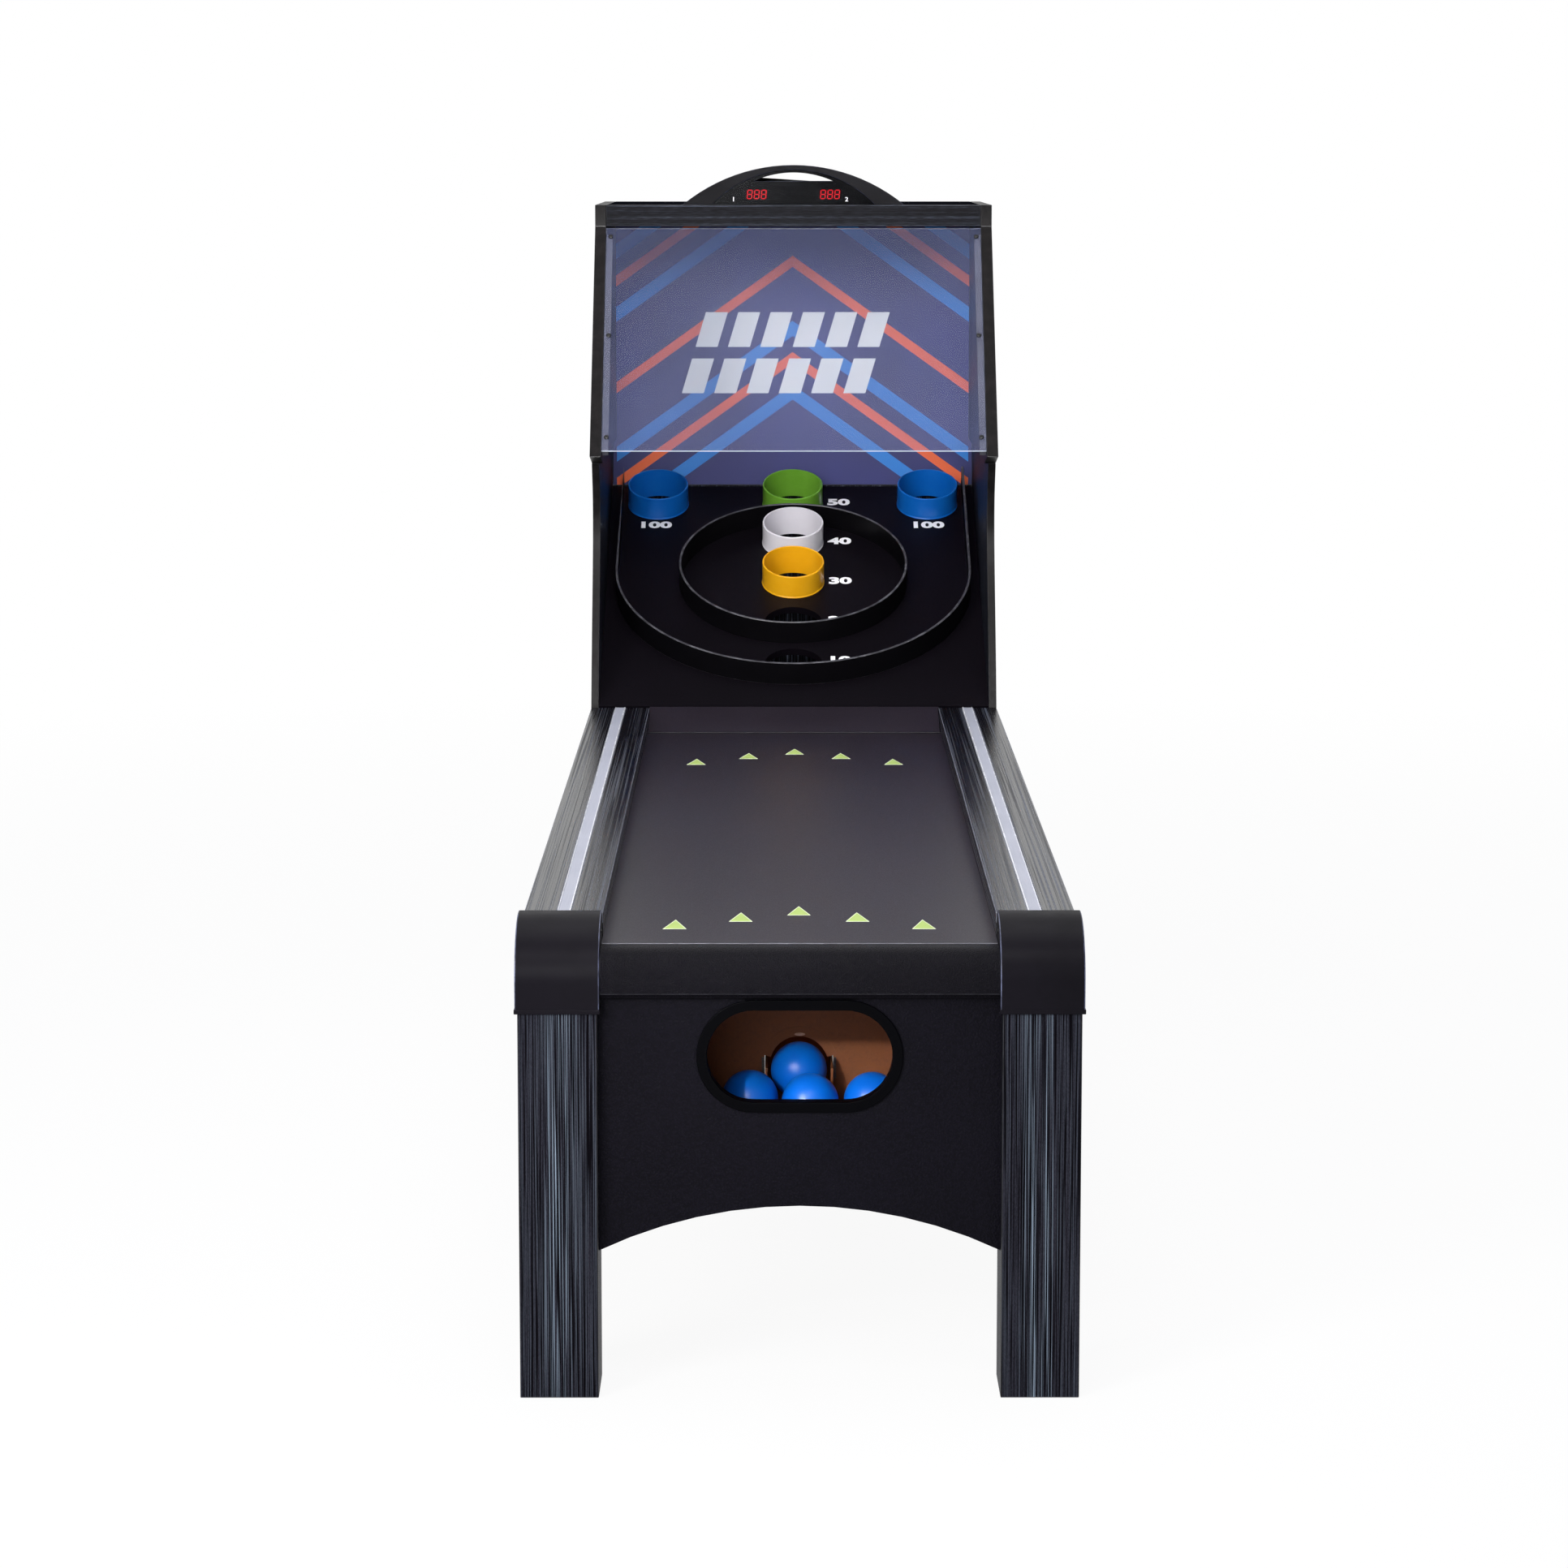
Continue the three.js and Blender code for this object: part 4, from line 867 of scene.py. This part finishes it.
def stripes(name, outlines, finish, lift):
    """Flat stripes on the panel, trimmed to its edges and lifted off it by their ink."""
    left, right, low, high, face = -305, 305, 866, 1336, 2504
    cuts = (
        ((left, 0, 0), (-1, 0, 0)), ((right, 0, 0), (1, 0, 0)),
        ((0, 0, low), (0, 0, -1)), ((0, 0, high), (0, 0, 1)),
    )
    shapes = []
    for outline in outlines:
        shape = plate(outline, 0.06, Matrix.Translation(at(0, face - lift, 0)) @ stand_up)
        for spot, away in cuts:
            bmesh.ops.bisect_plane(
                shape, geom=shape.verts[:] + shape.edges[:] + shape.faces[:], dist=0.000001,
                plane_co=Vector(spot) * MM, plane_no=away, clear_outer=True)
            rim = [edge for edge in shape.edges if edge.is_boundary]
            if rim:
                bmesh.ops.holes_fill(shape, edges=rim)
        shapes.append(shape)
    fitted(name, gathered(shapes), [finish])


def chevron(peak, width):
    """A bent stripe, by the height of its point and its width. Its arms pass the edges."""
    reach, drop = 420, 300
    return [
        (-reach, peak - drop), (0, peak), (reach, peak - drop),
        (reach, peak - drop - width), (0, peak - width), (-reach, peak - drop - width),
    ]


dressed(
    "back_panel", [panel_ground, raw_board, film_edge], 0.4, sort=bare_behind)
blue_ink = ink("blue_ink", paint(8, 118, 206))
orange_ink = ink("orange_ink", paint(226, 92, 36))
pale_ink = ink("pale_ink", paint(226, 230, 236))
blue_bends = [chevron(peak, 26) for peak in (1500, 1392, 1150, 1040)]
stripes("blue_stripes", blue_bends, blue_ink, 0.13)
orange_bends = [chevron(peak, 19) for peak in (1446, 1262, 1096)]
stripes("orange_stripes", orange_bends, orange_ink, 0.2)
tall, wide, lean = 60, 38, 18
slanted = []
for row, base in enumerate((1105, 1025)):
    for step in range(6):
        start = -168 + step * 56 - row * 24
        slanted.append([
            (start, base), (start + wide, base),
            (start + wide + lean, base + tall), (start + lean, base + tall)])
stripes("pale_bars", slanted, pale_ink, 0.27)


# Hood: two sides with a slanted front edge, a narrow fascia across the front and a top
# board, all in black laminate. The pores of the fascia and of the top run across.
hood_laminate = laminate("hood_laminate", 2, 0.5)
fascia_laminate = laminate("fascia_laminate", 0, 0.36)
top_laminate = laminate("top_laminate", 0, 0.14, gloss=0.0)
for side in ("left", "right"):
    dressed(
        f"hood_side_{side}", [hood_laminate, edge_tape, rubbed_edge], 0.8,
        sort=taped)
dressed("hood_fascia", [fascia_laminate, rubbed_edge], 0.8)
dressed("hood_top", [top_laminate, rubbed_edge], 0.8)


# Window: a clear acrylic sheet screwed to a cleat on each side of the hood. Its polished
# edges carry painted light: the lower edge a painted glow, the others a pale painted
# highlight. Its face carries a faint grey haze.
window_rise, window_run = 358, 255
window_tilt = math.atan2(window_rise, window_run)
window_place = Matrix.Translation(at(0, 1870, 962)) @ Matrix.Rotation(window_tilt, 4, "X")
window_finish = Finish("clear_sheet")
haze = window_finish.noise(5, 4, 0.6)
clear_sheet = window_finish.done(
    Base_Color=paint(100, 108, 150),
    Roughness=haze.spread(0.3, 0.7, 0.03, 0.09),
    Alpha=haze.spread(0.3, 0.7, 0.09, 0.13),
    Specular_IOR_Level=0.36,
)
# Painted glow: the lower edge is near white with a faint emission, standing for light that its
# polished edge gathers.
edge_glow_finish = Finish("painted_edge_glow")
polish = edge_glow_finish.noise(120, 3, 0.6)
painted_edge_glow = edge_glow_finish.done(
    Base_Color=edge_glow_finish.mix(polish, paint(214, 226, 246), paint(246, 250, 255)),
    Roughness=polish.spread(0.3, 0.7, 0.12, 0.25),
    Emission_Color=paint(214, 226, 246),
    Emission_Strength=0.35,
)
# Painted highlight: the sheet's other edges are pale grey for the light they catch.
dim_sheet_highlight = edge_wear_and_highlight("dim_sheet_highlight", paint(84, 88, 100), paint(128, 132, 146))


def sheet_rim(face):
    """0 for the sheet's two faces, 1 for its lower edge and 2 for the others."""
    normal = window_place.to_3x3().inverted() @ face.normal
    if abs(normal.z) > 0.8:
        return 0
    return 1 if normal.y < -0.8 else 2


dressed("window", [clear_sheet, painted_edge_glow, dim_sheet_highlight], 0.3, sort=sheet_rim)
cleat_paint = moulded("cleat_paint", paint(82, 82, 90), 0.5, 500)
for side in ("left", "right"):
    dressed(f"window_cleat_{side}", [cleat_paint, film_edge], 0.5)
outwards = window_place.to_3x3() @ Vector((0, 0, 1))
heads = []
for x in (-298, 298):
    for v in (38, 230, 421):
        spot = window_place @ (Vector((x, v, -2.0)) * MM)
        heads.append(screw(facing(spot, outwards, v), 4.0, 2.0))
fitted("window_screws", gathered(heads), [black_screw])


# Scoreboard: an arched housing in black plastic with a hand-hold, a dark tinted lens, red
# figures behind it and a small white number beside each player's figures.
housing_plastic = moulded("housing_plastic", paint(17, 16, 20), 0.44, 900, 0.00003, gloss=0.07)
# Painted highlight: the housing's eased edges are a pale bluish grey for the light they catch.
housing_edge_highlight = edge_wear_and_highlight("housing_edge_highlight", paint(30, 32, 46), paint(66, 72, 100), 0.2)
dressed("score_housing", [housing_plastic, housing_edge_highlight], 0.9, 2, turn=40)
lens_finish = Finish("display_lens")
smoke = lens_finish.noise(20, 3, 0.5)
display_lens = lens_finish.done(
    Base_Color=paint(4, 4, 7),
    Roughness=smoke.spread(0.3, 0.7, 0.1, 0.18),
    Alpha=0.5,
    Specular_IOR_Level=0.12,
)
dressed("score_lens", [display_lens, display_lens], 0.3, turn=40)
circuit_green = moulded("circuit_board", paint(20, 70, 44), 0.4)
dressed("score_circuit", [circuit_green, circuit_green], 0.2)
lit_finish = Finish("lit_red")
flicker = lit_finish.noise(600, 2, 0.5)
lit_red = lit_finish.done(
    Base_Color=paint(200, 20, 30),
    Roughness=0.4,
    Emission_Color=lit_finish.mix(flicker, paint(255, 30, 44), paint(236, 16, 34)),
    Emission_Strength=4.0,
)
digit_bed = moulded("digit_bed", paint(58, 6, 16), 0.4)


def segment(x, z, length, upright):
    """One lit bar of a figure, with pointed ends."""
    half, fat, lean = length / 2, 0.7, 0.09
    ends = [
        (-half, 0), (-half + fat, fat), (half - fat, fat),
        (half, 0), (half - fat, -fat), (-half + fat, -fat)]
    if upright:
        ends = [(-b, a) for a, b in ends]
    return [(x + a + lean * (z + b), z + b) for a, b in ends]


figures_front = Matrix.Translation(at(0, 2142.2, 1371.8)) @ stand_up
figure_step, half_tall, half_wide = 11.5, 6.9, 3.7
lit, beds = [], []
for centre in (-60, 60):
    corners = [(centre - 19, -8.5), (centre + 19, -8.5), (centre + 19, 8.5), (centre - 19, 8.5)]
    beds.append(plate(corners, 0.1, figures_front))
    for x in (centre - figure_step, centre, centre + figure_step):
        for z in (-half_tall, 0, half_tall):
            lit.append(plate(segment(x, z, 6.2, False), 0.15, figures_front))
        for aside in (-half_wide, half_wide):
            for z in (-half_tall / 2, half_tall / 2):
                outline = [(a + aside, b) for a, b in segment(x, z, 6.3, True)]
                lit.append(plate(outline, 0.15, figures_front))
fitted("digit_beds", gathered(beds), [digit_bed])
fitted("lit_figures", gathered(lit), [lit_red])
player_marks = [
    marking(text, 7, 1.1, 0.01, Matrix.Translation(at(x, 2139.6, 1364)) @ stand_up)
    for text, x in (("1", -98), ("2", 87))
]
fitted("player_numbers", gathered(player_marks), [white_ink])


# Back of the scoreboard: a screwed cover with the speaker's grille, a red rocker switch, a
# red reset button and the sliding door of the battery box, which holds two small cells in
# a black tray.
# The cover's eased edges, and the battery door's below, take the caps' painted bluish
# highlight.
dressed("score_cover", [housing_plastic, cap_edge_highlight], 0.4, 2, turn=40)
speaker_finish = Finish("speaker_steel")
cone = speaker_finish.noise(900, 3, 0.6)
speaker_steel = speaker_finish.done(
    Base_Color=speaker_finish.mix(cone, paint(96, 98, 102), paint(128, 130, 134)),
    Metallic=0.7,
    Roughness=cone.spread(0.3, 0.7, 0.35, 0.5),
    Normal=speaker_finish.relief(cone, 0.00006, 0.4),
)
dressed("speaker", [speaker_steel, speaker_steel], 0.4, 2, turn=40)
red_plastic = moulded("red_plastic", paint(178, 20, 24), 0.3, gloss=0.5)
red_edge = edge_wear_and_highlight("red_edge", paint(190, 30, 32), paint(222, 92, 88))
dressed("power_switch", [red_plastic, red_edge], 0.5, 3, "switch_rocker")
dressed("reset_button", [red_plastic, red_edge], 0.6, 3, "reset_key", turn=50)
dressed("battery_door", [housing_plastic, cap_edge_highlight], 0.4, 2, "battery_lid")
cover_face = 2195.0
frame_bars = (
    ((99.6, 1365.6), (124.4, 1367.4)), ((99.6, 1381.2), (124.4, 1383.0)),
    ((99.6, 1367.4), (101.4, 1381.2)), ((122.8, 1367.4), (124.4, 1381.2)),
)
switch_frame = gathered([
    bar((left, cover_face, low), (right, cover_face + 1, high))
    for (left, low), (right, high) in frame_bars])
fitted("switch_frame", switch_frame, [housing_plastic])
collar_section = [(6.9, 0), (8.8, 0), (8.8, 0.5), (8.3, 0.9), (7.3, 0.9), (6.9, 0.5)]
to_rear = (0, 1, 0)
collar = turned(collar_section, facing(at(78, cover_face, 1374.3), to_rear), 48)
fitted("button_collar", collar, [housing_plastic])
cell_sleeve = moulded("cell_sleeve", paint(30, 62, 112), 0.3, gloss=0.4)
cell_collar = moulded("cell_collar", paint(188, 190, 198), 0.3, gloss=0.4)
cell_section = [
    (0.4, 0), (4.4, 0), (5.1, 0.5), (5.1, 30), (5.1, 43.1), (4.6, 43.6), (1.8, 43.6),
    (1.8, 44.4), (0.4, 44.4),
]
cells_middle, half_cell = -92, 22.2
cell_base, sleeve_top, cell_top = 0.6, 30, 43.2
cells = []
for z, end in ((1366.4, 1), (1378.0, -1)):
    foot = at(cells_middle - end * half_cell, 2185.2, z)
    cell = turned(cell_section, facing(foot, (end, 0, 0)), 32)
    for face in cell.faces:
        along = end * (face.calc_center_median().x / MM - cells_middle) + half_cell
        bare = along < cell_base or along > cell_top
        face.material_index = 2 if bare else 1 if along > sleeve_top else 0
    cells.append(cell)
cell_finishes = [cell_sleeve, cell_collar, speaker_steel]
fitted("battery_cells", gathered(cells), cell_finishes)
tray_bars = [
    ((-118, 2178.2, 1360.2), (-66, 2179.4, 1384.2)),
    ((-118, 2178.2, 1359.2), (-66, 2191.4, 1360.6)),
    ((-118, 2178.2, 1371.7), (-66, 2186.4, 1372.7)),
    ((-118, 2178.2, 1359.2), (-116.6, 2191.4, 1380.2)),
    ((-67.4, 2178.2, 1359.2), (-66, 2191.4, 1384.2)),
]
tray_shape = gathered([bar(corner, opposite, 0.2) for corner, opposite in tray_bars])
fitted("battery_tray", tray_shape, [housing_plastic])
cover_heads = [
    screw(facing(at(x, cover_face, z), to_rear, x), 2.6, 1.0)
    for x, z in ((-45, 1361), (45, 1361), (-74, 1400), (74, 1400))
]
fitted("cover_screws", gathered(cover_heads), [black_screw])


# Pan-head screws seen from behind, nine that hold the back panel and nine that hold the
# cabinet's back board. Their cross recesses stand at odd angles, as they were left.
back_face = 2516.0
back_heads = [
    screw(facing(at(x, back_face, z), to_rear, x + z), 3.4, 1.1)
    for x in (-290, 0, 290) for z in (885, 1110, 1318)
]
back_heads += [
    screw(facing(at(x, back_face, z), to_rear, x - z), 3.4, 1.1)
    for x in (-296, 0, 296) for z in (290, 560, 830)
]
fitted("back_screws", gathered(back_heads), [black_screw])
